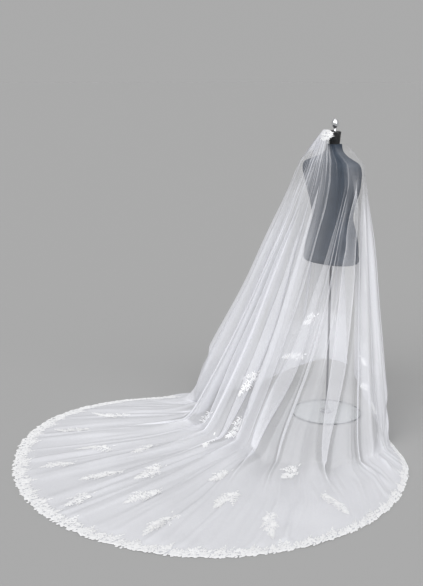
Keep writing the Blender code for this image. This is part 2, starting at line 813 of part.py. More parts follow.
def build_sprays(grid, lace):
    """The sprays of lace scattered over the tulle."""
    for number, (share, up, turn, length, width) in enumerate(SPRAYS, start=1):
        run = grid.hem_run(share) - up
        pace = grid.pace(share, run)
        angle = math.radians(turn)
        outline = []
        for along, across in SPRAY_OUTLINE:
            forward = along * length / 2
            sideways = across * width / 2
            down = forward * math.cos(angle) - sideways * math.sin(angle)
            over = forward * math.sin(angle) + sideways * math.cos(angle)
            outline.append((share + over / pace, run + down))
        lay_lace(f"lace_spray_{number:02d}", grid, [outline], lace)


def build_comb_lace(grid, lace):
    """The lace sewn over the comb."""

    def on_gather(across, down):
        run = COMB_LACE_MIDDLE + down
        return across / grid.pace(0.0, run), run

    outline = [
        on_gather(across * COMB_LACE_HALF_WIDTH, down * COMB_LACE_HALF_HEIGHT)
        for across, down in COMB_LACE_OUTLINE
    ]
    eyelets = []
    for across, down in COMB_LACE_EYELETS:
        middle_x = across * COMB_LACE_HALF_WIDTH
        middle_y = down * COMB_LACE_HALF_HEIGHT
        eyelets.append([
            on_gather(middle_x - EYELET_HALF_WIDTH, middle_y),
            on_gather(middle_x, middle_y - EYELET_HALF_HEIGHT),
            on_gather(middle_x + EYELET_HALF_WIDTH, middle_y),
            on_gather(middle_x, middle_y + EYELET_HALF_HEIGHT),
        ])
    lay_lace("comb_lace", grid, [outline] + eyelets, lace, COMB_LACE_LIFT)


def build_comb(metal):
    """The bowed comb under the gathers; the middle teeth lean on the neck block."""
    back = SEAM
    front = SEAM + COMB_BAR_THICKNESS
    bar_bottom = COMB_BAR_TOP - COMB_BAR_HEIGHT
    tip_depth = neck_radius(COMB_TIP_HEIGHT) + SEAM
    shift = tip_depth - bow_point(0.0, front)[1]
    steps = COMB_TEETH * 2 - 1
    step_angle = 2 * COMB_HALF_ANGLE / steps
    points = []
    faces = []
    for step in range(steps + 1):
        angle = step * step_angle - COMB_HALF_ANGLE
        drop = bow_drop(angle)
        for inset, height in (
            (front, bar_bottom),
            (back, bar_bottom),
            (back, COMB_BAR_TOP),
            (front, COMB_BAR_TOP),
        ):
            points.append((*bow_point(angle, inset), height - drop))
    for step in range(steps):
        low = step * 4
        high = low + 4
        for corner in range(1, 4):
            after = (corner + 1) % 4
            faces.append((low + corner, low + after, high + after, high + corner))
        has_tooth = step % 2 == 0
        if not has_tooth:
            faces.append((low, low + 1, high + 1, high))
            continue
        angle = (step + 0.5) * step_angle - COMB_HALF_ANGLE
        x, y = bow_point(angle, front)
        tip = len(points)
        for side, thick in ((-1, 0), (1, 0), (1, 1), (-1, 1)):
            points.append((
                x + side * COMB_TIP_HALF_WIDTH,
                y + shift + thick * COMB_TIP_THICKNESS,
                COMB_TIP_HEIGHT - bow_drop(angle),
            ))
        root = (low, high, high + 1, low + 1)
        for corner in range(4):
            after = (corner + 1) % 4
            faces.append((root[corner], root[after], tip + after, tip + corner))
        faces.append((tip, tip + 1, tip + 2, tip + 3))
    faces.append((0, 3, 2, 1))
    end = steps * 4
    faces.append((end, end + 1, end + 2, end + 3))
    mesh = mesh_from("comb", points, faces)
    shape = bmesh.new()
    shape.from_mesh(mesh)
    bmesh.ops.recalc_face_normals(shape, faces=shape.faces)
    shape.to_mesh(mesh)
    shape.free()
    add_object("comb", mesh, metal)


def main():
    clear_scene()
    finishes = {name: make_finish(name) for name in FINISHES}
    build_stand(finishes["glass"], finishes["chrome"])
    build_torso(finishes["form_cloth"])
    build_neck(finishes["black_cap"], finishes["chrome"])
    build_comb(finishes["comb_metal"])
    grid = VeilGrid()
    build_veil(grid, finishes["tulle"])
    build_edging(grid, finishes["lace"])
    build_sprays(grid, finishes["lace"])
    build_comb_lace(grid.thinned(), finishes["lace"])


main()
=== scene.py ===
"""Looks of the bridal veil on its dress form: fine net, lace, form and studio.

Metres, +Z up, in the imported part's own frame. The form faces -Y and the train lies along +Y.
"""

import math
import random

import bpy
import numpy as np
from mathutils import Matrix, Vector


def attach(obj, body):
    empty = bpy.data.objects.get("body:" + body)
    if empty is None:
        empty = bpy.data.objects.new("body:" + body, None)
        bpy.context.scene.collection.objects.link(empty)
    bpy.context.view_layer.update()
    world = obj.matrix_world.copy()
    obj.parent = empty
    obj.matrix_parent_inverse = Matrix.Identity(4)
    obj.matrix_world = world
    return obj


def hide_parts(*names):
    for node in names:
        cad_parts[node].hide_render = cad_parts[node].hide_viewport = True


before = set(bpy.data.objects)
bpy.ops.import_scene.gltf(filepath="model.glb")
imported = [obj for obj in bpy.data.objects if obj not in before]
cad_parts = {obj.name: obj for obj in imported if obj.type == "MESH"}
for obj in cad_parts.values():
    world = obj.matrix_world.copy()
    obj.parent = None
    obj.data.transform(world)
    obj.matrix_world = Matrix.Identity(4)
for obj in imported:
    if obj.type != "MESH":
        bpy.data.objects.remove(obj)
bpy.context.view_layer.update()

# Driving dimensions of the veil
GATHER_HEIGHT = 1.553
GATHER_HALF_WIDTH = 0.042
GATHER_DEPTH = 0.022
GATHER_CENTRE_Y = 0.036
GATHER_HALF_ANGLE = math.radians(105)
GATHER_END_DROP = 0.010
SHOULDER_CENTRE_Y = 0.030
HANG_SAG = 0.27
FLOOR_FILLET = 0.08
LACE_BAND = 0.11
LATEST_LANDING = 0.80
TULLE_LIFT = 0.0007
TULLE_FLOOR = 0.0012
CUT_WIDTH = 2.74

# Driving dimensions of the dress form
BASE_DIAMETER = 0.380
BASE_THICKNESS = 0.010
BOSS_DIAMETER = 0.058
BOSS_HEIGHT = 0.012
POLE_DIAMETER = 0.012
TORSO_BOTTOM = 0.856
NECK_BOTTOM = 1.478
NECK_TOP = 1.544
NECK_RADIUS_BOTTOM = 0.027
FINIAL_TOP = 1.610
FINIAL_RADIUS = 0.019
FINIAL_STEM_RADIUS = 0.007
FINIAL_STEM_HEIGHT = 0.016
SEAM = 0.0003

# The neck block's rounded top, and the boss's crown as parts of its own radius and height
NECK_CROWN = [
    # radius, height
    (0.0322, 1.534),
    (0.0326, 1.538),
    (0.0318, 1.5405),
    (0.03, 1.542),
    (0.027, 1.5433),
    (0.023, NECK_TOP),
]
BOSS_CROWN = [
    # radius_part, height_part
    (0.62, 0.7),
    (0.58, 1),
]

# The seams and the taped lower edge of the torso
SEAM_BEARINGS = (0, 52, 90, 128, 180, 238, 270, 302)
SEAM_HALF_ANGLE = math.radians(0.8)
SEAM_DEPTH = 0.0016
TAPE_TOP = 0.868
TAPE_STEP = 0.0008
SHARP_METAL = 38
SHARP_CLOTH = 50

# Torso sections, bottom to top
TORSO_SECTIONS = [
    # height, half_width, front, back, middle_y
    (0.856, 0.15, 0.09, 0.094, 0),
    (0.86, 0.155, 0.094, 0.098, 0),
    (0.905, 0.16, 0.098, 0.101, 0),
    (0.96, 0.155, 0.097, 0.099, 0),
    (1.03, 0.136, 0.09, 0.089, 0),
    (1.1, 0.118, 0.084, 0.082, 0),
    (1.17, 0.13, 0.095, 0.083, 0.002),
    (1.24, 0.152, 0.11, 0.086, 0.006),
    (1.3, 0.169, 0.104, 0.086, 0.012),
    (1.345, 0.18, 0.088, 0.082, 0.018),
    (1.372, 0.178, 0.074, 0.074, 0.022),
    (1.388, 0.164, 0.064, 0.066, 0.022),
    (1.402, 0.128, 0.055, 0.058, 0.018),
    (1.418, 0.086, 0.048, 0.05, 0.01),
    (1.438, 0.054, 0.042, 0.043, 0.004),
    (1.4777, 0.037, 0.036, 0.036, 0),
]
TORSO_SQUARENESS = 0.86

# Where the cloth passes over the shoulders, by share of the half veil
SHOULDER_RING = [
    # share, bearing, reach, height
    (0, 0, 0.094, 1.39),
    (0.25, 26, 0.103, 1.388),
    (0.45, 55, 0.13, 1.386),
    (0.6, 80, 0.178, 1.384),
    (0.72, 100, 0.189, 1.382),
    (0.84, 125, 0.167, 1.372),
    (0.92, 145, 0.158, 1.362),
    (1, 164, 0.158, 1.352),
]

# The hem on the floor, left half; bearing is from the train's middle, reach from the pole
HEM_LEFT = [
    # share, bearing, reach, landing, lift
    (0, 0, 1.84, 0.68, 0),
    (0.1, 10, 1.812, 0.74, 0),
    (0.2, 20.5, 1.738, 0.7, 0),
    (0.3, 31, 1.64, 0.78, 0),
    (0.4, 42, 1.475, 0.66, 0),
    (0.48, 51, 1.235, 0.68, 0),
    (0.54, 57.5, 0.985, 0.8, 0),
    (0.6, 64, 0.865, 0.8, 0),
    (0.66, 71, 0.735, 0.69, 0),
    (0.72, 79, 0.59, 0.575, 0.01),
    (0.78, 90, 0.46, 0.46, 0.06),
    (0.86, 113, 0.325, 0.325, 0.16),
    (0.93, 142, 0.25, 0.25, 0.215),
    (1, 171, 0.219, 0.219, 0.205),
]

# The hem on the floor, right half
HEM_RIGHT = [
    # share, bearing, reach, landing, lift
    (0, 0, 1.84, 0.68, 0),
    (0.1, 9.5, 1.828, 0.7, 0),
    (0.2, 20, 1.768, 0.75, 0),
    (0.3, 31, 1.633, 0.75, 0),
    (0.4, 42.3, 1.43, 0.72, 0),
    (0.5, 53, 1.195, 0.66, 0),
    (0.58, 62.2, 0.969, 0.6, 0),
    (0.66, 70.6, 0.768, 0.55, 0),
    (0.72, 77, 0.575, 0.505, 0),
    (0.78, 86, 0.43, 0.4, 0),
    (0.86, 110, 0.29, 0.272, 0),
    (0.93, 145, 0.232, 0.228, 0.04),
    (1, 176, 0.219, 0.219, 0.15),
]

# How much the hanging cloth sags, by share of the half veil
SAG_BY_SHARE = [
    # share, part_of_full_sag
    (0, 1),
    (0.55, 1),
    (0.72, 0.25),
    (1, 0),
]

# The main folds, right edge to left edge; swell is halfway down, foot is where they land
FOLDS = [
    # share, swell, foot
    (-0.93, 0.018, 0.02),
    (-0.81, 0.022, 0.024),
    (-0.69, 0.024, 0.026),
    (-0.58, 0.024, 0.03),
    (-0.475, 0.022, 0.03),
    (-0.37, 0.04, 0.046),
    (-0.27, 0.018, 0.024),
    (-0.18, 0.038, 0.046),
    (-0.1, 0.018, 0.024),
    (-0.035, 0.03, 0.04),
    (0.045, 0.022, 0.03),
    (0.13, 0.034, 0.046),
    (0.2, 0.024, 0.032),
    (0.27, 0.034, 0.046),
    (0.345, 0.026, 0.036),
    (0.43, 0.038, 0.056),
    (0.51, 0.036, 0.06),
    (0.595, 0.034, 0.056),
    (0.68, 0.026, 0.04),
    (0.78, 0.024, 0.026),
    (0.89, 0.02, 0.02),
]

# How tall a fold is along a thread, as parts of its swell and foot
FOLD_STAGES = [
    # stage, swell_part, foot_part
    (0, 0, 0),
    (0.5, 0, 0),
    (1, 0.08, 0),
    (1.5, 1, 0),
    (2, 0, 1),
    (2.3, 0, 0.35),
    (2.7, 0, 0.18),
    (3, 0, 0.06),
    (4, 0, 0.03),
]

# How far threads are pulled sideways at the shoulders, and how that fades down the veil
DRIFT_BY_SHARE = [
    # share, drift
    (-1, 0),
    (-0.8, -0.03),
    (-0.6, -0.12),
    (-0.4, -0.215),
    (-0.26, -0.3),
    (-0.178, -0.35),
    (-0.1, -0.25),
    (-0.02, -0.165),
    (0.055, -0.08),
    (0.15, -0.02),
    (0.25, 0),
    (1, 0),
]
DRIFT_BY_STAGE = [
    # stage, part
    (0, 0.35),
    (0.6, 0.8),
    (1.06, 1),
    (1.13, 0.9),
    (1.25, 0.66),
    (1.35, 0.5),
    (1.48, 0.34),
    (1.6, 0.21),
    (1.71, 0.1),
    (1.8, 0),
    (1.98, -0.12),
    (2.15, -0.1),
    (2.6, 0),
    (4, 0),
]

# Pleats that lie over themselves, from the shoulders to the floor
PLEATS = [
    # share, start, full, wide, fade, end, width_up, width_down, height, overlap, lean
    (-0.4, 1.02, 1.22, 1.6, 1.7, 2.45, 0.046, 0.058, 0.016, 1.15, 1),
    (-0.178, 1, 1.3, 1.85, 1.72, 2.45, 0.018, 0.064, 0.016, 1.1, 1),
    (-0.215, 1.04, 1.15, 1.4, 1.5, 1.9, 0.01, 0.014, 0.006, 0.7, 1),
    (-0.262, 1.1, 1.45, 1.7, 1.85, 2.6, 0.014, 0.02, 0.008, 0.8, 1),
    (-0.33, 1.04, 1.2, 1.4, 1.4, 1.85, 0.01, 0.014, 0.006, 0.6, -1),
    (-0.098, 1, 1.15, 1.5, 1.5, 2.2, 0.012, 0.02, 0.009, 0.85, -1),
    (-0.02, 1, 1.2, 1.6, 1.7, 2.45, 0.012, 0.022, 0.01, 0.95, 1),
    (0.055, 1.04, 1.3, 1.65, 1.7, 2.45, 0.024, 0.046, 0.014, 1.1, -1),
    (0.13, 1.1, 1.4, 1.7, 1.8, 2.5, 0.018, 0.03, 0.01, 0.6, 1),
    (0.215, 1.1, 1.4, 1.75, 1.72, 2.5, 0.024, 0.056, 0.015, 1.05, 1),
    (0.315, 1.1, 1.45, 1.8, 1.85, 2.6, 0.02, 0.036, 0.012, 0.55, -1),
    (0.4, 1.1, 1.5, 1.8, 1.72, 2.5, 0.026, 0.05, 0.014, 0.8, 1),
    (0.47, 1.15, 1.55, 1.8, 1.9, 2.6, 0.018, 0.03, 0.01, 0.6, -1),
    (0.545, 1.15, 1.55, 1.85, 1.9, 2.6, 0.028, 0.056, 0.015, 0.85, 1),
    (-0.52, 1.1, 1.5, 1.8, 1.85, 2.6, 0.016, 0.026, 0.01, 0.55, -1),
    (-0.62, 1.1, 1.4, 1.8, 1.85, 2.5, 0.016, 0.026, 0.01, 0.75, 1),
    (-0.7, 1.1, 1.4, 1.8, 1.9, 2.5, 0.014, 0.022, 0.009, 0.8, 1),
    (-0.86, 1.1, 1.4, 1.8, 1.9, 2.4, 0.016, 0.03, 0.01, 0.8, -1),
    (0.64, 1.1, 1.4, 1.8, 1.9, 2.5, 0.018, 0.03, 0.012, 0.8, -1),
    (0.74, 1.1, 1.4, 1.8, 2, 2.4, 0.02, 0.04, 0.012, 0.85, 1),
    (0.85, 1.1, 1.4, 1.8, 2, 2.4, 0.016, 0.03, 0.01, 0.8, 1),
    (0.95, 1.1, 1.4, 1.8, 2, 2.6, 0.012, 0.02, 0.008, 0.7, -1),
    (-0.96, 1.1, 1.4, 1.8, 2, 2.6, 0.012, 0.02, 0.008, 0.7, 1),
]
PLEAT_TAPER = 0.80

# The small gathers under the comb
GATHERS = 66
GATHER_SEED = 11
GATHER_WIDTHS = (0.6, 1.5)
GATHER_ENDS = (1.05, 1.40)
GATHER_HEIGHTS = (0.0030, 0.0075)
GATHER_OVERLAPS = (0.30, 0.95)
GATHER_START = (-0.3, 0.5)
GATHER_FADE = 0.9
SMOOTH_NECK = (-0.85, -0.16)
SMOOTH_NECK_STAGES = (0.15, 0.5)
SMOOTH_NECK_PART = 0.75
FULL_TO_SHARE = 0.5
LEFT_GATHERS = 1.3

# The fine ripples of the train
RIPPLES = 260
RIPPLE_SEED = 23
RIPPLE_SHARES = (-0.74, 0.74)
RIPPLE_WIDTHS = (0.004, 0.012)
RIPPLE_STARTS = (1.60, 2.50)
RIPPLE_SPANS = (0.6, 1.5)
RIPPLE_BENDS = (-0.03, 0.03)
RIPPLE_HEIGHTS = (0.0014, 0.0052)
RIPPLE_RISE = 0.25
RIPPLE_FALL = 0.5

# Resolution of the net, in columns and in rows to each stage
NET_COLUMNS = 700
NET_ROWS = (16, 52, 48, 8)
BASE_COLUMNS = 401
PATH_POINTS_SLOPING = 24
PATH_POINTS_HANGING = 240

# How much the net covers what is behind it where it lies smooth, by stage and by part of the veil; the split by
# part is partly painted light, thin over the dark torso and thicker where the real net was lit from behind
COVER_WITH_PAINTED_LIGHT = [
    # stage, back, left, front
    (0, 0.85, 0.88, 0.85),
    (0.12, 0.45, 0.74, 0.6),
    (0.3, 0.14, 0.62, 0.5),
    (0.6, 0.05, 0.54, 0.36),
    (1, 0.06, 0.46, 0.22),
    (1.15, 0.11, 0.43, 0.28),
    (1.3, 0.18, 0.51, 0.44),
    (1.5, 0.32, 0.52, 0.54),
    (1.8, 0.39, 0.51, 0.47),
    (2, 0.5, 0.55, 0.46),
    (2.2, 0.68, 0.66, 0.58),
    (2.6, 0.79, 0.76, 0.68),
    (3, 0.8, 0.78, 0.72),
    (4, 0.8, 0.78, 0.72),
]
LEFT_FROM = (-0.16, -0.02)
FRONT_FROM = (0.57, 0.67)
FRONT_RIGHT_STAGES = (1.05, 1.25)
NECK_SHARES = (0.12, 0.30)
NECK_STAGES = (0.35, 0.70)
NECK_SHEER = 0.994
SHOULDER_SHARES = (0.22, 0.34)
SHOULDER_FROM = (0.55, 0.80)
SHOULDER_TO = (1.00, 1.12)
SHOULDER_SHEER = 0.70
THICKEST = 9.0
THINNEST = 0.5
STEEPEST_TILT = 0.34
SCALLOPED_ROWS = 2

# Lace: edging repeats and relief
EDGING_REPEATS = 38
EDGING_FROM_SHARE = -0.78
EDGING_TO_SHARE = 0.57
LACE_LIFT = 0.0010
LACE_RELIEF = 0.0014
FILL_LEAVES = 30
EDGING_TWIGS = [
    # along, foot, rise, pairs
    (0.56, 0.036, 0.064, 4),
    (0.7, 0.028, 0.048, 3),
    (0.4, 0.03, 0.052, 3),
    (0.22, 0.026, 0.04, 2),
    (0.84, 0.026, 0.042, 3),
    (0.06, 0.026, 0.034, 2),
]
SPRAY_LEAF = (0.0205, 0.0072)
SPRAY_CORD = 0.0026
SPRAY_TWIG_PITCH = 0.021
EDGING_LEAF = (0.0215, 0.0078)
FILL_LEAF = (0.023, 0.0082)
SCALLOP_PETALS = 9
TWIG_CORD = 0.0022
COMB_LACE_HALF = (0.042, 0.028)
COMB_LACE_MIDDLE = 0.030
COMB_RIM_LEAVES = 26
COMB_FILL_LEAVES = 34
INNER_LACE_FROM = 0.70
# Painted glow: emission on the inner side of lace near the front edges, for light the real lace got through the
# net
INNER_PAINTED_GLOW = 0.22

# Sprays of lace on the net; up is the distance from the hem, turn is from the thread
SPRAYS = [
    # share, up, turn, length, width
    (0.385, 0.3, 30, 0.24, 0.11),
    (0.305, 0.225, 25, 0.2, 0.11),
    (0.197, 0.41, 10, 0.195, 0.11),
    (0.14, 0.67, -15, 0.154, 0.115),
    (0.155, 0.225, 5, 0.18, 0.11),
    (0.072, 0.4, 10, 0.216, 0.12),
    (0.015, 0.6, -5, 0.209, 0.125),
    (0.01, 0.2, -5, 0.165, 0.115),
    (-0.055, 0.42, 5, 0.216, 0.125),
    (-0.14, 0.245, -5, 0.235, 0.125),
    (0.23, 1.02, 15, 0.127, 0.075),
    (0.075, 1.02, -30, 0.177, 0.08),
    (0.03, 1.2, 20, 0.143, 0.08),
    (-0.125, 0.78, 15, 0.149, 0.11),
    (-0.195, 0.53, 5, 0.2, 0.13),
    (-0.295, 0.255, -20, 0.23, 0.15),
    (-0.285, 0.8, 15, 0.177, 0.1),
    (-0.4, 0.3, -30, 0.24, 0.12),
    (-0.94, 0.23, 75, 0.1, 0.06),
    (0.05, 1.42, 20, 0.165, 0.08),
    (-0.9, 0.76, 15, 0.129, 0.05),
    (0.735, 0.08, -70, 0.112, 0.065),
    (0.835, 0.085, -75, 0.16, 0.08),
    (0.87, 0.28, -50, 0.1, 0.07),
    (-0.938, 0.085, -75, 0.14, 0.06),
    (-0.855, 0.08, 85, 0.12, 0.06),
]

# A leaf and a petal of lace: how wide and how raised along, and the corded relief across
LEAF_ALONG = [
    # along, half_width_part, relief_part
    (0, 0.1, 0.1),
    (0.18, 0.72, 0.72),
    (0.42, 1, 1),
    (0.66, 0.78, 0.78),
    (0.86, 0.4, 0.4),
    (1, 0.05, 0.05),
]
PETAL_ALONG = [
    # along, half_width_part, relief_part
    (0, 0.34, 0.6),
    (0.3, 0.78, 1),
    (0.62, 1, 1),
    (0.86, 0.8, 1),
    (1, 0.36, 0.15),
]
LEAF_ACROSS = [
    # across, relief
    (-1, 0),
    (-0.7, 1),
    (0, 0.45),
    (0.7, 1),
    (1, 0),
]
PETAL_ACROSS = [
    # across, relief
    (-1, 0),
    (-0.72, 1),
    (0, 0.45),
    (0.72, 1),
    (1, 0),
]


def curve(table, column, at):
    """A smooth curve, with no overshoot between its rows, through one column of a table."""
    rows = np.array(table, dtype=float)
    stations = rows[:, 0]
    values = rows[:, column]
    at = np.asarray(at, dtype=float)
    steps = np.diff(stations)
    rises = np.diff(values) / steps
    slopes = np.concatenate([rises[:1], np.zeros(len(rises) - 1), rises[-1:]])
    slopes[1:-1] = (rises[:-1] * steps[1:] + rises[1:] * steps[:-1]) / (steps[:-1] + steps[1:])
    slopes[1:-1] = np.where(rises[:-1] * rises[1:] <= 0, 0.0, slopes[1:-1])
    row = np.clip(np.searchsorted(stations, at) - 1, 0, len(steps) - 1)
    part = np.clip((at - stations[row]) / steps[row], 0, 1)
    ease = part * part * (3 - 2 * part)
    leave = part * (1 - part) ** 2 * steps[row] * slopes[row]
    arrive = -part * part * (1 - part) * steps[row] * slopes[row + 1]
    return values[row] * (1 - ease) + values[row + 1] * ease + leave + arrive


def ramp(low, high, at):
    """0 before low, 1 past high, and smooth between them."""
    part = np.clip((at - low) / (high - low), 0, 1)
    return part * part * (3 - 2 * part)


def gather_point(share):
    """Top of a thread, on the bowed comb."""
    angle = GATHER_HALF_ANGLE * share
    return np.array([
        GATHER_HALF_WIDTH * math.sin(angle),
        GATHER_CENTRE_Y + GATHER_DEPTH * math.cos(angle),
        GATHER_HEIGHT - GATHER_END_DROP * share ** 2,
    ])


def shoulder_point(share):
    """Where a thread passes over the shoulders."""
    bearing = math.copysign(math.radians(curve(SHOULDER_RING, 1, abs(share))), share)
    reach = curve(SHOULDER_RING, 2, abs(share))
    return np.array([
        reach * math.sin(bearing),
        SHOULDER_CENTRE_Y + reach * math.cos(bearing),
        curve(SHOULDER_RING, 3, abs(share)),
    ])


def hem_row(share):
    """Bearing (signed, radians), reach, landing and lift of the hem."""
    table = HEM_LEFT if share >= 0 else HEM_RIGHT
    bearing, reach, landing, lift = [float(curve(table, column, abs(share))) for column in range(1, 5)]
    return math.copysign(math.radians(bearing), share), reach, landing, max(lift, 0.0)


def thread_path(share):
    """Points along one thread from comb to hem, and where it passes the shoulders and lands."""
    top = gather_point(share)
    shoulder = shoulder_point(share)
    bearing, reach, landing, lift = hem_row(share)
    outward = np.array([math.sin(bearing), math.cos(bearing)])
    run = outward * reach - shoulder[:2]
    run_length = math.hypot(run[0], run[1])
    heading = run / run_length
    land_at = float((outward * landing - shoulder[:2]) @ heading)
    sag = HANG_SAG * float(curve(SAG_BY_SHARE, 1, abs(share)))
    gone = np.linspace(0, 1, PATH_POINTS_HANGING) * run_length
    part = gone / land_at
    line = shoulder[2] * (1 - (1 + sag) * part + sag * part * part)
    fillet = (line + FLOOR_FILLET) ** 2 / (4 * FLOOR_FILLET)
    height = np.where(line > FLOOR_FILLET, line, np.where(line < -FLOOR_FILLET, 0.0, fillet))
    height = height + lift * np.minimum(part, 1.0)
    hanging = np.stack([shoulder[0] + heading[0] * gone, shoulder[1] + heading[1] * gone, height], axis=1)
    slope = np.linspace(0, 1, PATH_POINTS_SLOPING)[:-1, None]
    path = np.concatenate([top + (shoulder - top) * slope, hanging])
    steps = np.linalg.norm(np.diff(path, axis=0), axis=1)
    lengths = np.concatenate([[0.0], np.cumsum(steps)])
    shoulder_length = lengths[len(slope)]
    landing_length = float(np.interp(land_at, gone, lengths[len(slope):]))
    return path, lengths, shoulder_length, landing_length


def unit(vectors):
    """Vectors of length one."""
    return vectors / np.maximum(np.linalg.norm(vectors, axis=-1, keepdims=True), 1e-9)


def grid_normals(points):
    """Outward normals of a grid of points, columns by rows."""
    return unit(np.cross(np.gradient(points, axis=0), np.gradient(points, axis=1)))


class Net:
    """The veil's surface: its smooth base, its folds and how dense it looks."""

    def __init__(self):
        stages = [np.linspace(stage, stage + 1, count + 1)[:-1] for stage, count in enumerate(NET_ROWS)]
        self.stages = np.concatenate(stages + [[float(len(NET_ROWS))]])
        self.base_shares = np.linspace(-1, 1, BASE_COLUMNS)
        self.make_base()
        self.shares = np.linspace(-1, 1, NET_COLUMNS + 1)
        self.fold()

    def make_base(self):
        """The smooth surface with no folds, at even shares."""
        knots = []
        base = []
        for share in self.base_shares:
            path, lengths, shoulder, landing = thread_path(float(share))
            band = lengths[-1] - LACE_BAND
            landing = min(landing, shoulder + LATEST_LANDING * (band - shoulder))
            marks = [0.0, shoulder, landing, band, lengths[-1]]
            runs = np.interp(self.stages, range(5), marks)
            knots.append(marks)
            base.append(np.stack([np.interp(runs, lengths, path[:, axis]) for axis in range(3)], axis=1))
        self.knots = np.array(knots)
        self.base = np.array(base)
        self.base_out = grid_normals(self.base)
        spacing = self.base_shares[1] - self.base_shares[0]
        self.base_pace = np.linalg.norm(np.gradient(self.base, axis=0), axis=2) / spacing

    def on_base(self, values, shares):
        """Values of a base grid, read at other shares, row by row."""
        flat = values.reshape(values.shape[0], values.shape[1], -1)
        read = np.empty(shares.shape + (flat.shape[2],))
        for row in range(shares.shape[1]):
            for axis in range(flat.shape[2]):
                read[:, row, axis] = np.interp(shares[:, row], self.base_shares, flat[:, row, axis])
        return read if values.ndim == 3 else read[:, :, 0]

    def spread(self, shares, stages):
        """Where the cloth at a share lies on the base, once it is pulled sideways at the shoulders."""
        return shares + curve(DRIFT_BY_SHARE, 1, shares) * curve(DRIFT_BY_STAGE, 1, stages)

    def fold(self):
        """Lay the pleats, gathers, folds and ripples on the base."""
        share = self.shares[:, None] + 0 * self.stages[None, :]
        stage = self.stages[None, :] + 0 * share
        lie = self.spread(share, stage)
        smooth = self.on_base(self.base, lie)
        pace = self.on_base(self.base_pace, lie)
        step = self.shares[1] - self.shares[0]
        cloth_pace = np.linalg.norm(np.gradient(smooth, axis=0), axis=2) / step
        slide = np.zeros_like(share)
        rise = self.soft_folds(share, stage)
        for field in (self.pleats, self.gathers):
            more_slide, more_rise = field(share, stage, cloth_pace)
            slide += more_slide
            rise += more_rise
        rise += self.ripples(share, stage)
        moved = np.clip(lie + slide / pace, -1, 1)
        out = unit(self.on_base(self.base_out, moved))
        self.points = self.on_base(self.base, moved) + out * (rise + TULLE_LIFT)[:, :, None]
        self.points[:, :, 2] = np.maximum(self.points[:, :, 2], TULLE_FLOOR)
        tilt = np.abs(np.sum(grid_normals(self.points) * out, axis=2))
        self.find_cover(share, lie, moved, tilt)
        self.find_outside(moved, rise)

    def find_cover(self, share, lie, moved, tilt):
        """How much the net covers: smooth cover, with painted light in its split by part of the veil, times how
        it is drawn together and turned.
        """
        step = self.shares[1] - self.shares[0]
        stage = self.stages[None, :] + 0 * lie
        net_pace = np.linalg.norm(np.gradient(self.points, axis=0), axis=2) / step
        drawn = np.clip(self.on_base(self.base_pace, moved) / np.maximum(net_pace, 1e-3), THINNEST, THICKEST)
        left = ramp(*LEFT_FROM, share)
        front = ramp(*FRONT_FROM, np.abs(lie)) * np.where(lie > 0, 1, ramp(*FRONT_RIGHT_STAGES, stage))
        # Painted light: the back part over the torso gets little cover and the left and front parts much more,
        # for the light that lit the real net from behind
        smooth = curve(COVER_WITH_PAINTED_LIGHT, 1, stage) * (1 - left) + curve(COVER_WITH_PAINTED_LIGHT, 2, stage) * left
        smooth = smooth * (1 - front) + curve(COVER_WITH_PAINTED_LIGHT, 3, stage) * front
        at_neck = ramp(*NECK_SHARES, -lie) * (1 - ramp(*NECK_STAGES, stage))
        smooth = smooth * (1 - NECK_SHEER * at_neck)
        at_shoulder = ramp(*SHOULDER_SHARES, share) * ramp(*SHOULDER_FROM, stage)
        at_shoulder = at_shoulder * (1 - ramp(*SHOULDER_TO, stage))
        smooth = smooth * (1 - SHOULDER_SHEER * at_shoulder)
        self.cover_with_painted_light = 1 - (1 - smooth) ** (drawn / np.maximum(tilt, STEEPEST_TILT))
        edged = (self.shares > EDGING_FROM_SHARE) & (self.shares < EDGING_TO_SHARE)
        self.cover_with_painted_light[edged, -SCALLOPED_ROWS:] = 0.0

    def find_outside(self, moved, rise):
        """How far out the outermost cloth is, over the even shares of the base."""
        slots = np.rint((moved + 1) / 2 * (BASE_COLUMNS - 1)).astype(int)
        self.outside = np.empty((BASE_COLUMNS, len(self.stages)))
        for row in range(len(self.stages)):
            highest = np.full(BASE_COLUMNS, -1.0)
            np.maximum.at(highest, slots[:, row], rise[:, row])
            known = highest >= 0
            filled = np.interp(self.base_shares, self.base_shares[known], highest[known])
            self.outside[:, row] = np.convolve(np.pad(filled, 1, mode="edge"), (0.25, 0.5, 0.25), "valid")

    def soft_folds(self, share, stage):
        """The main folds, with the heights that the solid has."""
        ridges = np.array([row[0] for row in FOLDS])
        valleys = np.concatenate([[-1.0], (ridges[1:] + ridges[:-1]) / 2, [1.0]])
        index = np.clip(np.searchsorted(valleys, share) - 1, 0, len(ridges) - 1)
        ridge = ridges[index]
        edge = np.where(share < ridge, valleys[index], valleys[index + 1])
        away = np.minimum(np.abs(share - ridge) / np.abs(edge - ridge), 1)
        swell = np.array([row[1] for row in FOLDS])[index] * curve(FOLD_STAGES, 1, stage)
        foot = np.array([row[2] for row in FOLDS])[index] * curve(FOLD_STAGES, 2, stage)
        return (0.5 + 0.5 * np.cos(math.pi * away)) * (swell + foot)

    def one_pleat(self, share, centre, half_share, width, height, overlap, lean):
        """Sideways slide and rise of one pleat that lies over itself."""
        across = (share - centre) / half_share
        inside = np.abs(across) < 1
        across = np.where(inside, across, 1.0)
        wave = np.sin(math.pi * across)
        slide = -overlap * width * wave * (1 - across ** 2)
        rise = height * 0.5 * (1 - lean * wave) * (1 - across ** 2) ** 2
        return np.where(inside, slide, 0.0), np.where(inside, rise, 0.0)

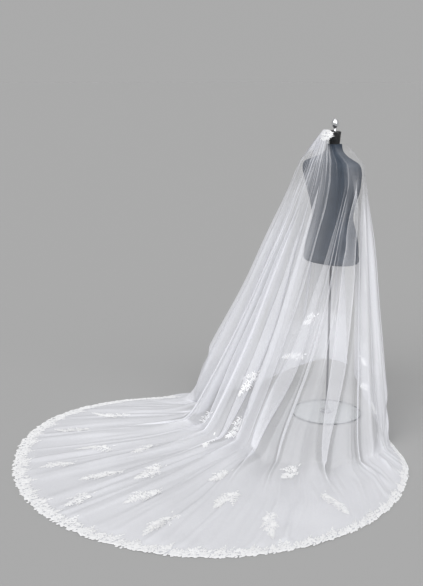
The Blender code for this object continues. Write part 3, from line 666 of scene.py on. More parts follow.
    def pleats(self, share, stage, cloth_pace):
        """The pleats of the table."""
        slide = np.zeros_like(share)
        rise = np.zeros_like(share)
        for centre, start, full, wide, fade, end, width_up, width_down, height, overlap, lean in PLEATS:
            column = int(round((centre + 1) / 2 * NET_COLUMNS))
            width = width_up + (width_down - width_up) * ramp(full, wide, stage[0])
            width = width * (1 - PLEAT_TAPER * ramp(fade, end, stage[0]))
            half_share = width / cloth_pace[column]
            strength = ramp(start, full, stage[0]) * (1 - ramp(fade, end, stage[0]))
            one_slide, one_rise = self.one_pleat(
                share, centre, half_share[None, :], width[None, :] * strength, height * strength, overlap, lean
            )
            slide += one_slide
            rise += one_rise
        return slide, rise

    def gathers(self, share, stage, cloth_pace):
        """The small gathers under the comb, each with its own length and height."""
        chance = random.Random(GATHER_SEED)
        edges = np.cumsum([0.0] + [chance.uniform(*GATHER_WIDTHS) for _ in range(GATHERS)])
        edges = edges / edges[-1] * 2 - 1
        slide = np.zeros_like(share)
        rise = np.zeros_like(share)
        for low, high in zip(edges, edges[1:]):
            centre = (low + high) / 2
            half_share = (high - low) / 2
            column = int(round((centre + 1) / 2 * NET_COLUMNS))
            end = chance.uniform(*GATHER_ENDS)
            height = chance.uniform(*GATHER_HEIGHTS)
            overlap = chance.uniform(*GATHER_OVERLAPS)
            lean = chance.choice((-1, 1))
            strength = ramp(*GATHER_START, stage[0]) * (1 - ramp(GATHER_FADE, end, stage[0]))
            if SMOOTH_NECK[0] < centre < SMOOTH_NECK[1]:
                strength = strength * (1 - SMOOTH_NECK_PART * ramp(*SMOOTH_NECK_STAGES, stage[0]))
            elif centre < FULL_TO_SHARE:
                height = height * LEFT_GATHERS
                overlap = overlap * LEFT_GATHERS
            width = half_share * cloth_pace[column]
            one_slide, one_rise = self.one_pleat(
                share, centre, half_share, width[None, :] * strength, height * strength, overlap, lean
            )
            slide += one_slide
            rise += one_rise
        return slide, rise

    def ripples(self, share, stage):
        """Fine uneven ripples that fan out over the train."""
        chance = random.Random(RIPPLE_SEED)
        rise = np.zeros_like(share)
        for _ in range(RIPPLES):
            centre = chance.uniform(*RIPPLE_SHARES)
            half_share = chance.uniform(*RIPPLE_WIDTHS)
            start = chance.uniform(*RIPPLE_STARTS)
            end = start + chance.uniform(*RIPPLE_SPANS)
            bend = chance.uniform(*RIPPLE_BENDS)
            height = chance.uniform(*RIPPLE_HEIGHTS)
            strength = ramp(start, start + RIPPLE_RISE, stage) * (1 - ramp(end - RIPPLE_FALL, end, stage))
            across = (share - centre - bend * (stage - 2)) / half_share
            rise += height * strength * np.exp(-across ** 2 * 2)
        return rise

    def marks(self, shares):
        """Runs of the comb, shoulders, landing, band and hem at some shares."""
        return [np.interp(shares, self.base_shares, self.knots[:, mark]) for mark in range(5)]

    def hem_run(self, share):
        """Length of the thread at a share, from comb to hem."""
        return self.marks(share)[4]

    def cell(self, shares, runs):
        """Columns and rows of the base grid at some shares and runs."""
        stage = self.stage_of(runs, self.marks(shares))
        columns = (shares + 1) / 2 * (BASE_COLUMNS - 1)
        return columns, np.interp(stage, self.stages, np.arange(len(self.stages)))

    def pace_at(self, shares, runs):
        """Metres across the threads for one whole share."""
        return self.blend(self.base_pace, *self.cell(shares, runs))

    def stage_of(self, runs, marks):
        """The stage at some runs, from 0 at the comb to 4 at the hem."""
        stage = np.zeros_like(runs)
        for index in range(4):
            gap = np.maximum(marks[index + 1] - marks[index], 1e-6)
            stage += np.clip((runs - marks[index]) / gap, 0, 1)
        return stage

    def blend(self, values, columns, rows):
        """Values of a grid between its columns and rows."""
        left = np.clip(np.floor(columns).astype(int), 0, values.shape[0] - 2)
        top = np.clip(np.floor(rows).astype(int), 0, values.shape[1] - 2)
        across = np.clip(columns - left, 0, 1)
        down = np.clip(rows - top, 0, 1)
        if values.ndim == 3:
            across = across[:, None]
            down = down[:, None]
        upper = values[left, top] * (1 - across) + values[left + 1, top] * across
        lower = values[left, top + 1] * (1 - across) + values[left + 1, top + 1] * across
        return upper * (1 - down) + lower * down

    def place(self, shares, runs, lifts, inner=False):
        """Points moved off the folded net by some lifts, on its outer or its inner side."""
        cell = self.cell(np.clip(shares, -1, 1), runs)
        if inner:
            out = -lifts
            lowest = TULLE_FLOOR
        else:
            out = self.blend(self.outside, *cell) + TULLE_LIFT + lifts
            lowest = TULLE_FLOOR + lifts
        points = self.blend(self.base, *cell) + unit(self.blend(self.base_out, *cell)) * out[:, None]
        points[:, 2] = np.maximum(points[:, 2], lowest)
        return points


def new_piece(name, points, faces, material, replaced=()):
    """A shaded mesh piece that rides with the part and may stand for some solids."""
    mesh = bpy.data.meshes.new(name)
    mesh.from_pydata([tuple(point) for point in np.asarray(points).tolist()], [], faces)
    mesh.update()
    piece = bpy.data.objects.new(name, mesh)
    bpy.context.scene.collection.objects.link(piece)
    mesh.materials.append(material)
    mesh.shade_smooth()
    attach(piece, "root")
    if replaced:
        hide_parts(*replaced)
    return piece


def grid_faces(columns, rows):
    """Faces of a grid of points, column by column."""
    return [
        (column * rows + row, (column + 1) * rows + row, (column + 1) * rows + row + 1, column * rows + row + 1)
        for column in range(columns - 1)
        for row in range(rows - 1)
    ]


def principled(name, colour, roughness, metallic=0.0):
    """A new material with its shader, ready for more nodes."""
    material = bpy.data.materials.new(name)
    material.use_nodes = True
    shader = material.node_tree.nodes["Principled BSDF"]
    shader.inputs["Base Color"].default_value = (*colour, 1.0)
    shader.inputs["Roughness"].default_value = roughness
    shader.inputs["Metallic"].default_value = metallic
    return material, material.node_tree, shader


def add_node(tree, kind, settings=None, inputs=None):
    """A node with its settings and plain input values."""
    node = tree.nodes.new("ShaderNode" + kind)
    for key, value in (settings or {}).items():
        setattr(node, key, value)
    for key, value in (inputs or {}).items():
        node.inputs[key].default_value = value
    return node


def wire(tree, *joints):
    """Join sockets, from rows of (node, output, node, input)."""
    for source, output, target, entry in joints:
        tree.links.new(source.outputs[output], target.inputs[entry])


def ramp_node(tree, stops):
    """A colour ramp with rows of (place, grey or colour)."""
    node = add_node(tree, "ValToRGB")
    elements = node.color_ramp.elements
    while len(elements) > 1:
        elements.remove(elements[-1])
    for number, (place, tone) in enumerate(stops):
        element = elements[0] if number == 0 else elements.new(place)
        element.position = place
        element.color = (*tone, 1.0) if isinstance(tone, tuple) else (tone, tone, tone, 1.0)
    return node


def tulle_material():
    """Fine white net: its cover comes from how full and how tilted the cloth is, from painted light laid in by
    part of the veil, and from its mesh.
    """
    material, tree, shader = principled("fine_tulle", (0.885, 0.892, 0.935), 0.7)
    shader.inputs["Specular IOR Level"].default_value = 0.25
    cover_with_painted_light = add_node(tree, "Attribute", {"attribute_name": "cover_with_painted_light"})
    place = add_node(tree, "UVMap", {"uv_map": "cloth"})
    scale = add_node(tree, "Mapping", inputs={"Scale": (560.0, 560.0, 1.0)})
    cells = add_node(tree, "TexVoronoi", {"feature": "DISTANCE_TO_EDGE"}, {"Scale": 1.0})
    threads = ramp_node(tree, [(0.0, 1.0), (0.16, 1.0), (0.26, 0.80), (1.0, 0.80)])
    cloudy = add_node(tree, "TexNoise", inputs={"Scale": 2.5, "Detail": 3.0})
    clouds = ramp_node(tree, [(0.30, 0.94), (0.70, 1.06)])
    meshed = add_node(tree, "Math", {"operation": "MULTIPLY"})
    uneven = add_node(tree, "Math", {"operation": "MULTIPLY", "use_clamp": True})
    wire(
        tree,
        (place, "UV", scale, "Vector"),
        (scale, "Vector", cells, "Vector"),
        (place, "UV", cloudy, "Vector"),
        (cells, "Distance", threads, "Fac"),
        (cloudy, "Fac", clouds, "Fac"),
        (cover_with_painted_light, "Fac", meshed, 0),
        (threads, "Color", meshed, 1),
        (meshed, "Value", uneven, 0),
        (clouds, "Color", uneven, 1),
        (uneven, "Value", shader, "Alpha"),
    )
    return material


def lace_material(name, painted_glow):
    """Matte white embroidery: close satin stitches, uneven in tone, with an even painted glow of emission as
    strong as asked.
    """
    material, tree, shader = principled(name, (0.94, 0.94, 0.96), 0.85)
    shader.inputs["Emission Color"].default_value = (1.0, 1.0, 1.0, 1.0)
    shader.inputs["Emission Strength"].default_value = painted_glow
    shader.inputs["Sheen Weight"].default_value = 0.15
    place = add_node(tree, "TexCoord")
    tone = add_node(tree, "TexNoise", inputs={"Scale": 60.0, "Detail": 4.0})
    tones = ramp_node(tree, [(0.30, (0.92, 0.925, 0.94)), (0.70, (0.98, 0.98, 0.99))])
    stitch = add_node(tree, "TexWave", {"wave_type": "BANDS", "bands_direction": "DIAGONAL"},
                      {"Scale": 260.0, "Distortion": 6.0, "Detail": 2.0, "Detail Scale": 1.5})
    bump = add_node(tree, "Bump", inputs={"Strength": 0.5, "Distance": 0.0005})
    wire(
        tree,
        (place, "Object", tone, "Vector"),
        (place, "Object", stitch, "Vector"),
        (tone, "Fac", tones, "Fac"),
        (tones, "Color", shader, "Base Color"),
        (stitch, "Fac", bump, "Height"),
        (bump, "Normal", shader, "Normal"),
    )
    return material


def jersey_material():
    """Charcoal knitted cover of the form."""
    material, tree, shader = principled("charcoal_jersey", (0.040, 0.055, 0.080), 0.92)
    shader.inputs["Specular IOR Level"].default_value = 0.3
    place = add_node(tree, "TexCoord")
    tone = add_node(tree, "TexNoise", inputs={"Scale": 14.0, "Detail": 5.0})
    tones = ramp_node(tree, [(0.30, (0.033, 0.047, 0.069)), (0.70, (0.046, 0.064, 0.092))])
    ribs = add_node(tree, "TexWave", {"wave_type": "BANDS", "bands_direction": "X"},
                    {"Scale": 190.0, "Distortion": 1.2, "Detail": 1.0})
    courses = add_node(tree, "TexWave", {"wave_type": "BANDS", "bands_direction": "Z"},
                       {"Scale": 240.0, "Distortion": 1.2, "Detail": 1.0})
    knit = add_node(tree, "Math", {"operation": "ADD"})
    bump = add_node(tree, "Bump", inputs={"Strength": 0.12, "Distance": 0.0004})
    wire(
        tree,
        (place, "Object", tone, "Vector"),
        (place, "Object", ribs, "Vector"),
        (place, "Object", courses, "Vector"),
        (tone, "Fac", tones, "Fac"),
        (tones, "Color", shader, "Base Color"),
        (ribs, "Fac", knit, 0),
        (courses, "Fac", knit, 1),
        (knit, "Value", bump, "Height"),
        (bump, "Normal", shader, "Normal"),
    )
    return material


def metal_material(name, colour, rough_low, rough_high, grain):
    """Polished or satin metal with faint wear in its gloss."""
    material, tree, shader = principled(name, colour, rough_low, 1.0)
    place = add_node(tree, "TexCoord")
    wear = add_node(tree, "TexNoise", inputs={"Scale": grain, "Detail": 5.0})
    gloss = add_node(tree, "MapRange", inputs={"To Min": rough_low, "To Max": rough_high})
    wire(
        tree,
        (place, "Object", wear, "Vector"),
        (wear, "Fac", gloss, "Value"),
        (gloss, "Result", shader, "Roughness"),
    )
    return material


def black_material():
    """Satin black paint with a fine grain."""
    material, tree, shader = principled("satin_black", (0.010, 0.011, 0.012), 0.42)
    place = add_node(tree, "TexCoord")
    grain = add_node(tree, "TexNoise", inputs={"Scale": 220.0, "Detail": 3.0})
    bump = add_node(tree, "Bump", inputs={"Strength": 0.15, "Distance": 0.0004})
    wire(
        tree,
        (place, "Object", grain, "Vector"),
        (grain, "Fac", bump, "Height"),
        (bump, "Normal", shader, "Normal"),
    )
    return material


def glass_material():
    """Clear glass plate: pale and see-through on its faces; its polished edge is painted deep grey and nearly
    opaque, as painted shade.
    """
    material, tree, shader = principled("clear_glass", (0.80, 0.84, 0.85), 0.06)
    shader.inputs["IOR"].default_value = 1.5
    place = add_node(tree, "NewGeometry")
    parts = add_node(tree, "SeparateXYZ")
    upright = add_node(tree, "Math", {"operation": "ABSOLUTE"})
    # Painted shade: faces whose normal is near level, the plate's edge, turn deep grey
    painted_shade_colours = ramp_node(tree, [(0.35, (0.05, 0.06, 0.065)), (0.80, (0.80, 0.84, 0.85))])
    covers = ramp_node(tree, [(0.35, 1.0), (0.80, 0.24)])
    wire(
        tree,
        (place, "Normal", parts, "Vector"),
        (parts, "Z", upright, 0),
        (upright, "Value", painted_shade_colours, "Fac"),
        (upright, "Value", covers, "Fac"),
        (painted_shade_colours, "Color", shader, "Base Color"),
        (covers, "Color", shader, "Alpha"),
    )
    return material


def build_net(net, tulle):
    """The one piece of net, with its cloth coordinates and its cover, which carries painted light."""
    columns, rows = net.points.shape[:2]
    piece = new_piece(
        "tulle_veil", net.points.reshape(-1, 3), grid_faces(columns, rows), tulle, ("veil",)
    )
    mesh = piece.data
    cover_with_painted_light = mesh.attributes.new("cover_with_painted_light", "FLOAT", "POINT")
    cover_with_painted_light.data.foreach_set("value", net.cover_with_painted_light.reshape(-1).astype(np.float32))
    marks = np.array(net.marks(net.shares)).T
    runs = np.array([np.interp(net.stages, range(5), row) for row in marks])
    width = net.shares[:, None] * CUT_WIDTH / 2 + 0 * runs
    cloth = np.stack([width, runs], axis=2).reshape(-1, 2)
    corners = np.empty(len(mesh.loops), dtype=np.int32)
    mesh.loops.foreach_get("vertex_index", corners)
    layer = mesh.uv_layers.new(name="cloth")
    layer.data.foreach_set("uv", cloth[corners].reshape(-1).astype(np.float32))
    return piece


class Lace:
    """Leaves, petals and cords of one lace piece, flat, before they are laid on the net."""

    def __init__(self):
        self.points = []
        self.faces = []
        self.count = 0

    def add(self, flat, relief, faces):
        self.points.append(np.column_stack([flat, relief]))
        self.faces += [tuple(corner + self.count for corner in face) for face in faces]
        self.count += len(flat)

    def blade(self, x, y, angle, length, width, along_table, across_table, bend=0.0):
        """A strip from its foot (x, y) that widens and narrows along its spine."""
        along, half, full = np.array(along_table, dtype=float).T
        across, heights = np.array(across_table, dtype=float).T
        turn = angle + bend * along
        side = half * width / 2
        spine_x = x + np.cumsum(np.concatenate([[0], np.diff(along) * np.cos(turn[:-1])])) * length
        spine_y = y + np.cumsum(np.concatenate([[0], np.diff(along) * np.sin(turn[:-1])])) * length
        flat_x = spine_x[:, None] - (np.sin(turn) * side)[:, None] * across
        flat_y = spine_y[:, None] + (np.cos(turn) * side)[:, None] * across
        raised = full[:, None] * heights * LACE_RELIEF
        flat = np.stack([flat_x, flat_y], axis=2).reshape(-1, 2)
        self.add(flat, raised.reshape(-1), grid_faces(len(along), len(across)))

    def leaf(self, x, y, angle, length, width, bend=0.0):
        """A pointed leaf with a raised cord round it and a vein."""
        self.blade(x, y, angle, length, width, LEAF_ALONG, LEAF_ACROSS, bend)

    def petal(self, x, y, angle, length, width):
        """A round petal, domed with a raised rim."""
        self.blade(x, y, angle, length, width, PETAL_ALONG, PETAL_ACROSS)

    def flower(self, x, y, radius, petals, turn, eye):
        """A flower of petals round an open eye, or round a bead where the eye is nothing."""
        for number in range(petals):
            angle = turn + 2 * math.pi * number / petals
            width = 2.3 * radius * math.sin(math.pi / petals)
            self.petal(x + eye * math.cos(angle), y + eye * math.sin(angle), angle, radius - eye, width)
        if eye == 0:
            self.petal(x - radius * 0.22, y, 0.0, radius * 0.44, radius * 0.44)

    def cord(self, line, width):
        """A raised cord along a line of (x, y) points."""
        line = np.asarray(line, dtype=float)
        ahead = unit(np.gradient(line, axis=0))
        side = np.stack([-ahead[:, 1], ahead[:, 0]], axis=1) * width / 2
        across = np.array([-1.0, 0.0, 1.0])
        flat = line[:, None, :] + side[:, None, :] * across[None, :, None]
        raised = np.tile([0.0, LACE_RELIEF * 1.1, 0.0], len(line))
        self.add(flat.reshape(-1, 2), raised, grid_faces(len(line), 3))

    def twig(self, x, y, angle, length, leaf_length, leaf_width, pairs, chance, bend=0.0):
        """A stem with pairs of leaves and one at its tip."""
        steps = np.linspace(0, 1, 9)
        turns = angle + bend * steps
        line_x = x + np.concatenate([[0], np.cumsum(np.cos(turns[:-1]))]) * length / 8
        line_y = y + np.concatenate([[0], np.cumsum(np.sin(turns[:-1]))]) * length / 8
        self.cord(np.stack([line_x, line_y], axis=1), TWIG_CORD)
        for pair in range(pairs):
            at = (pair + 0.4) / pairs
            size = 1.0 - 0.45 * abs(at - 0.35) / 0.65
            px = float(np.interp(at, steps, line_x))
            py = float(np.interp(at, steps, line_y))
            heading = angle + bend * at
            for side in (-1, 1):
                self.leaf(
                    px,
                    py,
                    heading + side * math.radians(chance.uniform(34, 58)),
                    leaf_length * size * chance.uniform(0.85, 1.15),
                    leaf_width * size * chance.uniform(0.9, 1.15),
                    bend=-side * chance.uniform(0.1, 0.5),
                )
        self.leaf(line_x[-1], line_y[-1], angle + bend, leaf_length * 0.8, leaf_width * 0.9)

    def lay(self, name, net, to_cloth, material, replaced, inner=None):
        """Lay the flat lace on the net, through a rule from its own (x, y) to share and run."""
        flat = np.concatenate(self.points)
        shares, runs = to_cloth(flat[:, 0], flat[:, 1])
        lifts = LACE_LIFT + flat[:, 2]
        points = net.place(shares, runs, lifts)
        faces = self.faces
        if inner is not None:
            points = np.concatenate([points, net.place(shares, runs, lifts, True)])
            faces = faces + [tuple(corner + len(flat) for corner in reversed(face)) for face in faces]
        piece = new_piece(name, points, faces, material, replaced)
        if inner is not None:
            # The inner side wears the second material, with its painted glow.
            piece.data.materials.append(inner)
            slots = np.repeat([0, 1], len(self.faces)).astype(np.int32)
            piece.data.polygons.foreach_set("material_index", slots)
        return piece


def spray_piece(number, row, net, lace, painted_glow_inner_lace):
    """One spray: a bowed stem with feathery side twigs, two small flowers and loose leaves."""
    share, up, turn, length, width = row
    chance = random.Random(100 + number)
    work = Lace()
    start = -length * 0.47
    reach = length * 0.80
    bend = chance.choice((-1, 1)) * chance.uniform(0.10, 0.40)
    stem = np.linspace(0, 1, 13)
    stem_x = start + stem * reach
    stem_y = bend * reach * (stem - 0.5) * (1 - stem) * 1.6
    work.cord(np.stack([stem_x, stem_y], axis=1), SPRAY_CORD)
    leaf_length, leaf_width = SPRAY_LEAF
    twigs = max(4, int(round(reach / SPRAY_TWIG_PITCH)))
    for number_along in range(twigs):
        at = (number_along + 0.5) / twigs
        x = float(np.interp(at, stem, stem_x))
        y = float(np.interp(at, stem, stem_y))
        full = 0.40 + 0.60 * math.sin(math.pi * min(at * 1.15 + 0.05, 1.0))
        for side in (-1, 1):
            angle = side * math.radians(chance.uniform(36, 74))
            side_length = max(width * 0.5 * full * chance.uniform(0.6, 1.25) - leaf_length * 0.6, 0.006)
            pairs = 1 if side_length < 0.014 else 2 if side_length < 0.034 else 3
            work.twig(x, y, angle, side_length, leaf_length, leaf_width, pairs, chance, -side * 0.5)
    work.twig(start + reach, float(stem_y[-1]), 0.0, length * 0.10, leaf_length, leaf_width, 2, chance)
    work.leaf(start, 0.0, math.pi + chance.uniform(-0.5, 0.5), leaf_length, leaf_width)
    for at, size in ((0.25, 0.11), (0.58, 0.09)):
        side = chance.choice((-1, 1))
        x = start + reach * at
        work.flower(x, side * width * chance.uniform(0.04, 0.12), width * size, 6, chance.uniform(0, 1), 0.0)
    run = float(net.hem_run(share)) - up
    pace = float(net.pace_at(np.array([share]), np.array([run]))[0])
    angle = math.radians(turn)

    def to_cloth(x, y):
        down = x * math.cos(angle) - y * math.sin(angle)
        over = x * math.sin(angle) + y * math.cos(angle)
        return share + over / pace, run + down

    replaced = (f"lace_spray_{number:02d}",)
    # Sprays near the front edges get an inner side with a painted glow.
    inner = painted_glow_inner_lace if abs(share) > INNER_LACE_FROM else None
    return work.lay(f"spray_{number:02d}", net, to_cloth, lace, replaced, inner)


def edging_piece(net, lace):
    """The edging: scallops at the hem, flowers with open eyes, and leafy twigs that point inward."""
    shares = np.linspace(-1, 1, 2001)
    hem = np.stack([np.interp(shares, net.base_shares, net.base[:, -1, axis]) for axis in range(3)], axis=1)
    lengths = np.concatenate([[0.0], np.cumsum(np.linalg.norm(np.diff(hem, axis=0), axis=1))])
    first, last = np.interp([EDGING_FROM_SHARE, EDGING_TO_SHARE], shares, lengths)
    pitch = (last - first) / EDGING_REPEATS
    chance = random.Random(7)
    work = Lace()
    inward = math.pi / 2
    for repeat in range(EDGING_REPEATS):
        left = repeat * pitch
        tall = 1.0 if repeat % 2 == 0 else 0.82
        for scallop in range(SCALLOP_PETALS):
            along = (scallop + 0.5 + chance.uniform(-0.25, 0.25)) / SCALLOP_PETALS
            outer = 0.0005 + chance.uniform(0, 0.0150)
            size = chance.uniform(0.015, 0.022)
            angle = -inward + chance.uniform(-0.5, 0.5)
            work.petal(left + along * pitch, outer + size, angle, size, size * 0.80)
        for filler in range(FILL_LEAVES):
            along = (filler + chance.uniform(0.1, 0.9)) / FILL_LEAVES
            if not 0.15 < repeat + along < EDGING_REPEATS - 0.15:
                continue
            up = 0.016 + chance.uniform(0, 1) ** 1.1 * 0.052 * tall
            lean = chance.uniform(-1.0, 1.0)
            size = chance.uniform(0.75, 1.15)
            long, wide = [part * size for part in FILL_LEAF]
            work.leaf(left + along * pitch, up, inward + lean, long, wide, -lean * 0.5)
        work.flower(left + 0.54 * pitch, 0.030, 0.0215, 8, chance.uniform(0, 1), 0.0085)
        work.flower(left + 0.06 * pitch + 0.004, 0.027, 0.0140, 6, chance.uniform(0, 1), 0.0)
        for along, foot, rise, pairs in EDGING_TWIGS:
            work.twig(left + along * pitch, foot, inward + chance.uniform(-0.35, 0.35), rise * tall,
                      *EDGING_LEAF, pairs, chance, chance.uniform(-0.5, 0.5))
    edge = np.linspace(0.01, EDGING_REPEATS - 0.01, EDGING_REPEATS * 12)
    work.cord(np.stack([edge * pitch, 0.021 + 0.004 * np.cos(edge * 2 * math.pi)], axis=1), 0.0040)

    def to_cloth(x, y):
        share = np.interp(first + x, lengths, shares)
        return share, net.hem_run(share) - y

    return work.lay("hem_lace", net, to_cloth, lace, ("lace_edging",))


def comb_lace_piece(net, lace):
    """Lace over the comb: three flowers with open eyes among close leaves."""
    half_width, half_height = COMB_LACE_HALF
    chance = random.Random(3)
    work = Lace()
    for across, down in ((-0.50, -0.30), (0.50, -0.30), (0.00, 0.30)):
        work.flower(across * half_width, down * half_height, 0.0140, 8, chance.uniform(0, 1), 0.0045)
    for number in range(COMB_RIM_LEAVES):
        angle = 2 * math.pi * number / COMB_RIM_LEAVES + chance.uniform(-0.1, 0.1)
        x = 0.58 * half_width * math.cos(angle)
        y = 0.56 * half_height * math.sin(angle)
        work.leaf(x, y, angle + chance.uniform(-0.5, 0.5), 0.0165 + 0.0060 * (number % 3 == 0), 0.0072)
    for _ in range(COMB_FILL_LEAVES):
        x = chance.uniform(-0.75, 0.75) * half_width
        y = chance.uniform(-0.75, 0.75) * half_height
        work.leaf(x, y, chance.uniform(0, 2 * math.pi), 0.0125, 0.0062)

    def to_cloth(x, y):
        run = np.maximum(COMB_LACE_MIDDLE + y, 0.001)
        return x / net.pace_at(np.zeros_like(run), run), run

    return work.lay("comb_lace_flowers", net, to_cloth, lace, ("comb_lace",))


def ring_faces(rings, sides):
    """Faces of a closed solid made of rings of points, bottom to top."""
    faces = [
        (low + side, low + (side + 1) % sides, low + sides + (side + 1) % sides, low + sides + side)
        for low in range(0, (rings - 1) * sides, sides)
        for side in range(sides)
    ]
    last = (rings - 1) * sides
    return faces + [tuple(reversed(range(sides))), tuple(range(last, last + sides))]


def turned(name, profile, sides, material, replaced):
    """A solid turned about the Z axis from (radius, height) rows, closed at both ends."""
    points = []
    for radius, height in profile:
        for side in range(sides):
            angle = 2 * math.pi * side / sides
            points.append((radius * math.cos(angle), radius * math.sin(angle), height))
    piece = new_piece(name, points, ring_faces(len(profile), sides), material, replaced)
    piece.data.set_sharp_from_angle(angle=math.radians(SHARP_METAL))
    return piece


def rounded(radius, low, high, soft, steps=5):
    """Profile of a disc or rod with rounded rims."""
    rows = []
    for step in range(steps + 1):
        angle = math.pi / 2 * step / steps
        rows.append((radius - soft + soft * math.sin(angle), low + soft - soft * math.cos(angle)))
    for step in range(steps + 1):
        angle = math.pi / 2 * step / steps
        rows.append((radius - soft + soft * math.cos(angle), high - soft + soft * math.sin(angle)))
    return rows


def build_form(jersey, black, chrome, dull, dark, glass):
    """The dress form: torso with seams, neck block, finial, pole, boss and base."""
    pieces = [build_torso(jersey)]
    neck = [(NECK_RADIUS_BOTTOM, NECK_BOTTOM)] + NECK_CROWN
    pieces.append(turned("neck_block_round", neck, 96, black, ("neck_block",)))
    egg_bottom = NECK_TOP + FINIAL_STEM_HEIGHT
    egg_height = FINIAL_TOP - egg_bottom
    egg = [(0.0105, NECK_TOP + SEAM), (0.0100, NECK_TOP + 0.002), (0.0082, NECK_TOP + 0.0045)]
    egg += [(FINIAL_STEM_RADIUS, NECK_TOP + 0.008), (FINIAL_STEM_RADIUS, egg_bottom)]
    for ring in range(25):
        angle = math.radians(40 + (174 - 40) * ring / 24)
        radius = FINIAL_RADIUS * math.sin(angle) * (1 + 0.12 * math.cos(angle))
        egg.append((radius, egg_bottom + egg_height * (1 - math.cos(angle)) / 2))
    pieces.append(turned("finial_egg", egg, 64, chrome, ("finial",)))
    boss_bottom = BASE_THICKNESS + SEAM
    boss_top = boss_bottom + BOSS_HEIGHT
    pole = [(POLE_DIAMETER / 2, boss_top + SEAM), (POLE_DIAMETER / 2, TORSO_BOTTOM - SEAM)]
    pieces.append(turned("pole_tube", pole, 48, dark, ("pole",)))
    boss = rounded(BOSS_DIAMETER / 2, boss_bottom, boss_bottom + BOSS_HEIGHT * 0.55, 0.0015)
    boss += [(BOSS_DIAMETER / 2 * part, boss_bottom + BOSS_HEIGHT * up) for part, up in BOSS_CROWN]
    pieces.append(turned("pole_boss", boss, 64, dull, ("base_boss",)))
    plate = rounded(BASE_DIAMETER / 2, 0.0, BASE_THICKNESS, 0.0025)
    pieces.append(turned("glass_plate", plate, 128, glass, ("base_plate",)))
    return pieces


def build_torso(jersey):
    """The padded torso, with sunk seams and a taped lower edge."""
    turn = 2 * math.pi
    seams = [math.radians(bearing) for bearing in SEAM_BEARINGS]
    angles = set(np.linspace(0, turn, 97)[:-1].round(6))
    angles = {angle for angle in angles if min(abs(angle - seam) for seam in seams) > 2 * SEAM_HALF_ANGLE}
    for seam in seams:
        angles |= {round((seam + side * SEAM_HALF_ANGLE) % turn, 6) for side in (-1, 0, 1)}
    angles = np.array(sorted(angles))
    sunk = np.array([
        min(abs((angle - seam + math.pi) % turn - math.pi) for seam in seams) < SEAM_HALF_ANGLE / 2
        for angle in angles
    ])
    heights = np.unique(np.concatenate([
        np.linspace(TORSO_SECTIONS[0][0], TORSO_SECTIONS[-1][0], 76),
        [TAPE_TOP - TAPE_STEP, TAPE_TOP, TAPE_TOP + TAPE_STEP],
        [row[0] for row in TORSO_SECTIONS],
    ]))
    rows = [curve(TORSO_SECTIONS, column, heights) for column in range(1, 5)]
    across = np.copysign(np.abs(np.cos(angles)) ** TORSO_SQUARENESS, np.cos(angles))
    deep = np.copysign(np.abs(np.sin(angles)) ** TORSO_SQUARENESS, np.sin(angles))
    points = []
    for height, half_width, front, back, middle in zip(heights, *rows):
        taped = TAPE_STEP if height < TAPE_TOP else 0.0
        inset = np.where(sunk, SEAM_DEPTH, 0.0) - taped
        x = (half_width - inset) * across
        y = middle + (np.where(deep > 0, back, front) - inset) * deep
        points += [(a, b, height) for a, b in zip(x, y)]
    faces = ring_faces(len(heights), len(angles))
    piece = new_piece("torso_cover", points, faces, jersey, ("torso",))
    piece.data.set_sharp_from_angle(angle=math.radians(SHARP_CLOTH))
    return piece


# The camera, seen from the back and right of the form
CAMERA_PLACE = (-3.0496, 3.7130, 1.8)
CAMERA_AHEAD = (0.7318, -0.6815)
CAMERA_TILT = math.radians(13.2)
CAMERA_LENS = 55.72
CAMERA_SENSOR = 36.0

# One plain tone for the floor; under the lights it looks like the world's tone beyond it
FLOOR_TONE = 0.424
FLOOR_HALF = 700.0
WORLD_TONE = 0.405

# Suns: azimuth seen from the form, elevation, strength and softness
SUN_DISTANCE = 6.0
SUNS = [
    # name, azimuth, elevation, strength, softness
    ("key", 190, 36, 1.35, 50),
    ("fill", 255, 26, 1, 60),
    ("top", 219, 78, 0.5, 70),
]

# A soft lamp inside the tent, for the light that real net scatters through itself
INSIDE_PLACE = (0.0, 0.24, 0.60)
INSIDE_TARGET = (0.0, -0.22, 0.24)
INSIDE_POWER = 2.4
INSIDE_SOFT_SIZE = 0.10
INSIDE_CONE = 130.0


def floor_material():
    """Plain pale matte floor."""
    material, _, shader = principled("studio_floor", (FLOOR_TONE,) * 3, 0.9)
    shader.inputs["Specular IOR Level"].default_value = 0.0
    return material


def add_light(name, kind, power, place, target):
    """A lamp at a place that points at a target."""
    lamp = bpy.data.lights.new(name, kind)
    lamp.energy = power
    light = bpy.data.objects.new(name, lamp)
    light.location = place
    light.rotation_mode = "QUATERNION"
    light.rotation_quaternion = (Vector(place) - Vector(target)).to_track_quat("Z", "Y")
    bpy.context.scene.collection.objects.link(light)
    return light


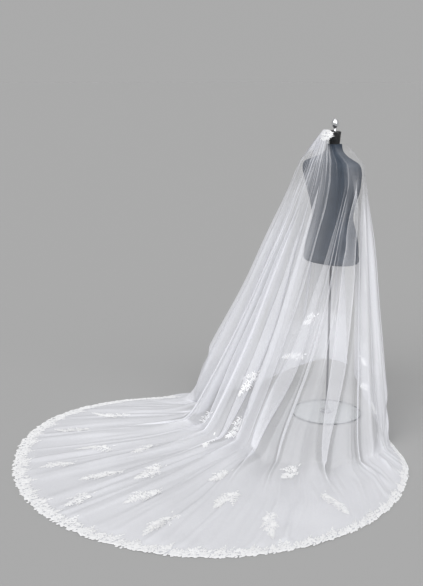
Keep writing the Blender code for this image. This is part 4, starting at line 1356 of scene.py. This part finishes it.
def build_studio():
    """A wide plain floor, an even grey world and soft suns."""
    scene = bpy.context.scene
    mesh = bpy.data.meshes.new("studio_floor")
    corners = [(FLOOR_HALF * x, FLOOR_HALF * y, 0) for x, y in ((-1, -1), (1, -1), (1, 1), (-1, 1))]
    mesh.from_pydata(corners, [], [(0, 1, 2, 3)])
    floor = bpy.data.objects.new("studio_floor", mesh)
    floor.location.z = -0.0006
    scene.collection.objects.link(floor)
    mesh.materials.append(floor_material())
    world = bpy.data.worlds.new("studio")
    world.use_nodes = True
    sky = world.node_tree.nodes["Background"].inputs
    sky["Color"].default_value = (WORLD_TONE,) * 3 + (1.0,)
    sky["Strength"].default_value = 1.0
    scene.world = world
    for name, azimuth, elevation, strength, softness in SUNS:
        turn = math.radians(azimuth)
        climb = math.radians(elevation)
        flat = math.cos(climb)
        back = Vector((math.sin(turn) * flat, -math.cos(turn) * flat, math.sin(climb)))
        sun = add_light(name, "SUN", strength, back * SUN_DISTANCE, (0, 0, 0))
        sun.data.angle = math.radians(softness)
    lamp = add_light("inside", "SPOT", INSIDE_POWER, INSIDE_PLACE, INSIDE_TARGET)
    lamp.data.shadow_soft_size = INSIDE_SOFT_SIZE
    lamp.data.spot_size = math.radians(INSIDE_CONE)
    lamp.data.spot_blend = 1.0
    lamp.visible_camera = False
    scene.view_settings.view_transform = "Standard"
    scene.cycles.transparent_max_bounces = 48


def build_camera():
    """The camera at the photograph's place."""
    lens = bpy.data.cameras.new("camera")
    lens.lens = CAMERA_LENS
    lens.sensor_width = CAMERA_SENSOR
    lens.clip_end = 2000
    camera = bpy.data.objects.new("camera", lens)
    bpy.context.scene.collection.objects.link(camera)
    ahead = Vector((
        CAMERA_AHEAD[0] * math.cos(CAMERA_TILT),
        CAMERA_AHEAD[1] * math.cos(CAMERA_TILT),
        -math.sin(CAMERA_TILT),
    ))
    turn = ahead.to_track_quat("-Z", "Y")
    camera.matrix_world = Matrix.Translation(Vector(CAMERA_PLACE)) @ turn.to_matrix().to_4x4()
    bpy.context.scene.camera = camera


def main():
    build_camera()
    build_studio()
    tulle = tulle_material()
    lace = lace_material("corded_lace", 0.0)
    # Lace with a painted glow, for the inner side of sprays near the front edges.
    painted_glow_inner_lace = lace_material("painted_glow_lace", INNER_PAINTED_GLOW)
    chrome = metal_material("polished_chrome", (0.82, 0.83, 0.85), 0.06, 0.16, 30.0)
    dull = metal_material("satin_chrome", (0.50, 0.51, 0.53), 0.25, 0.40, 30.0)
    dark = metal_material("dark_chrome", (0.13, 0.133, 0.14), 0.14, 0.24, 30.0)
    build_form(jersey_material(), black_material(), chrome, dull, dark, glass_material())
    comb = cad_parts["comb"]
    comb.data.materials.clear()
    comb.data.materials.append(metal_material("satin_comb", (0.10, 0.103, 0.11), 0.36, 0.50, 90.0))
    net = Net()
    veil = build_net(net, tulle)
    trims = [edging_piece(net, lace), comb_lace_piece(net, lace)]
    trims += [spray_piece(number, row, net, lace, painted_glow_inner_lace) for number, row in enumerate(SPRAYS, start=1)]


main()
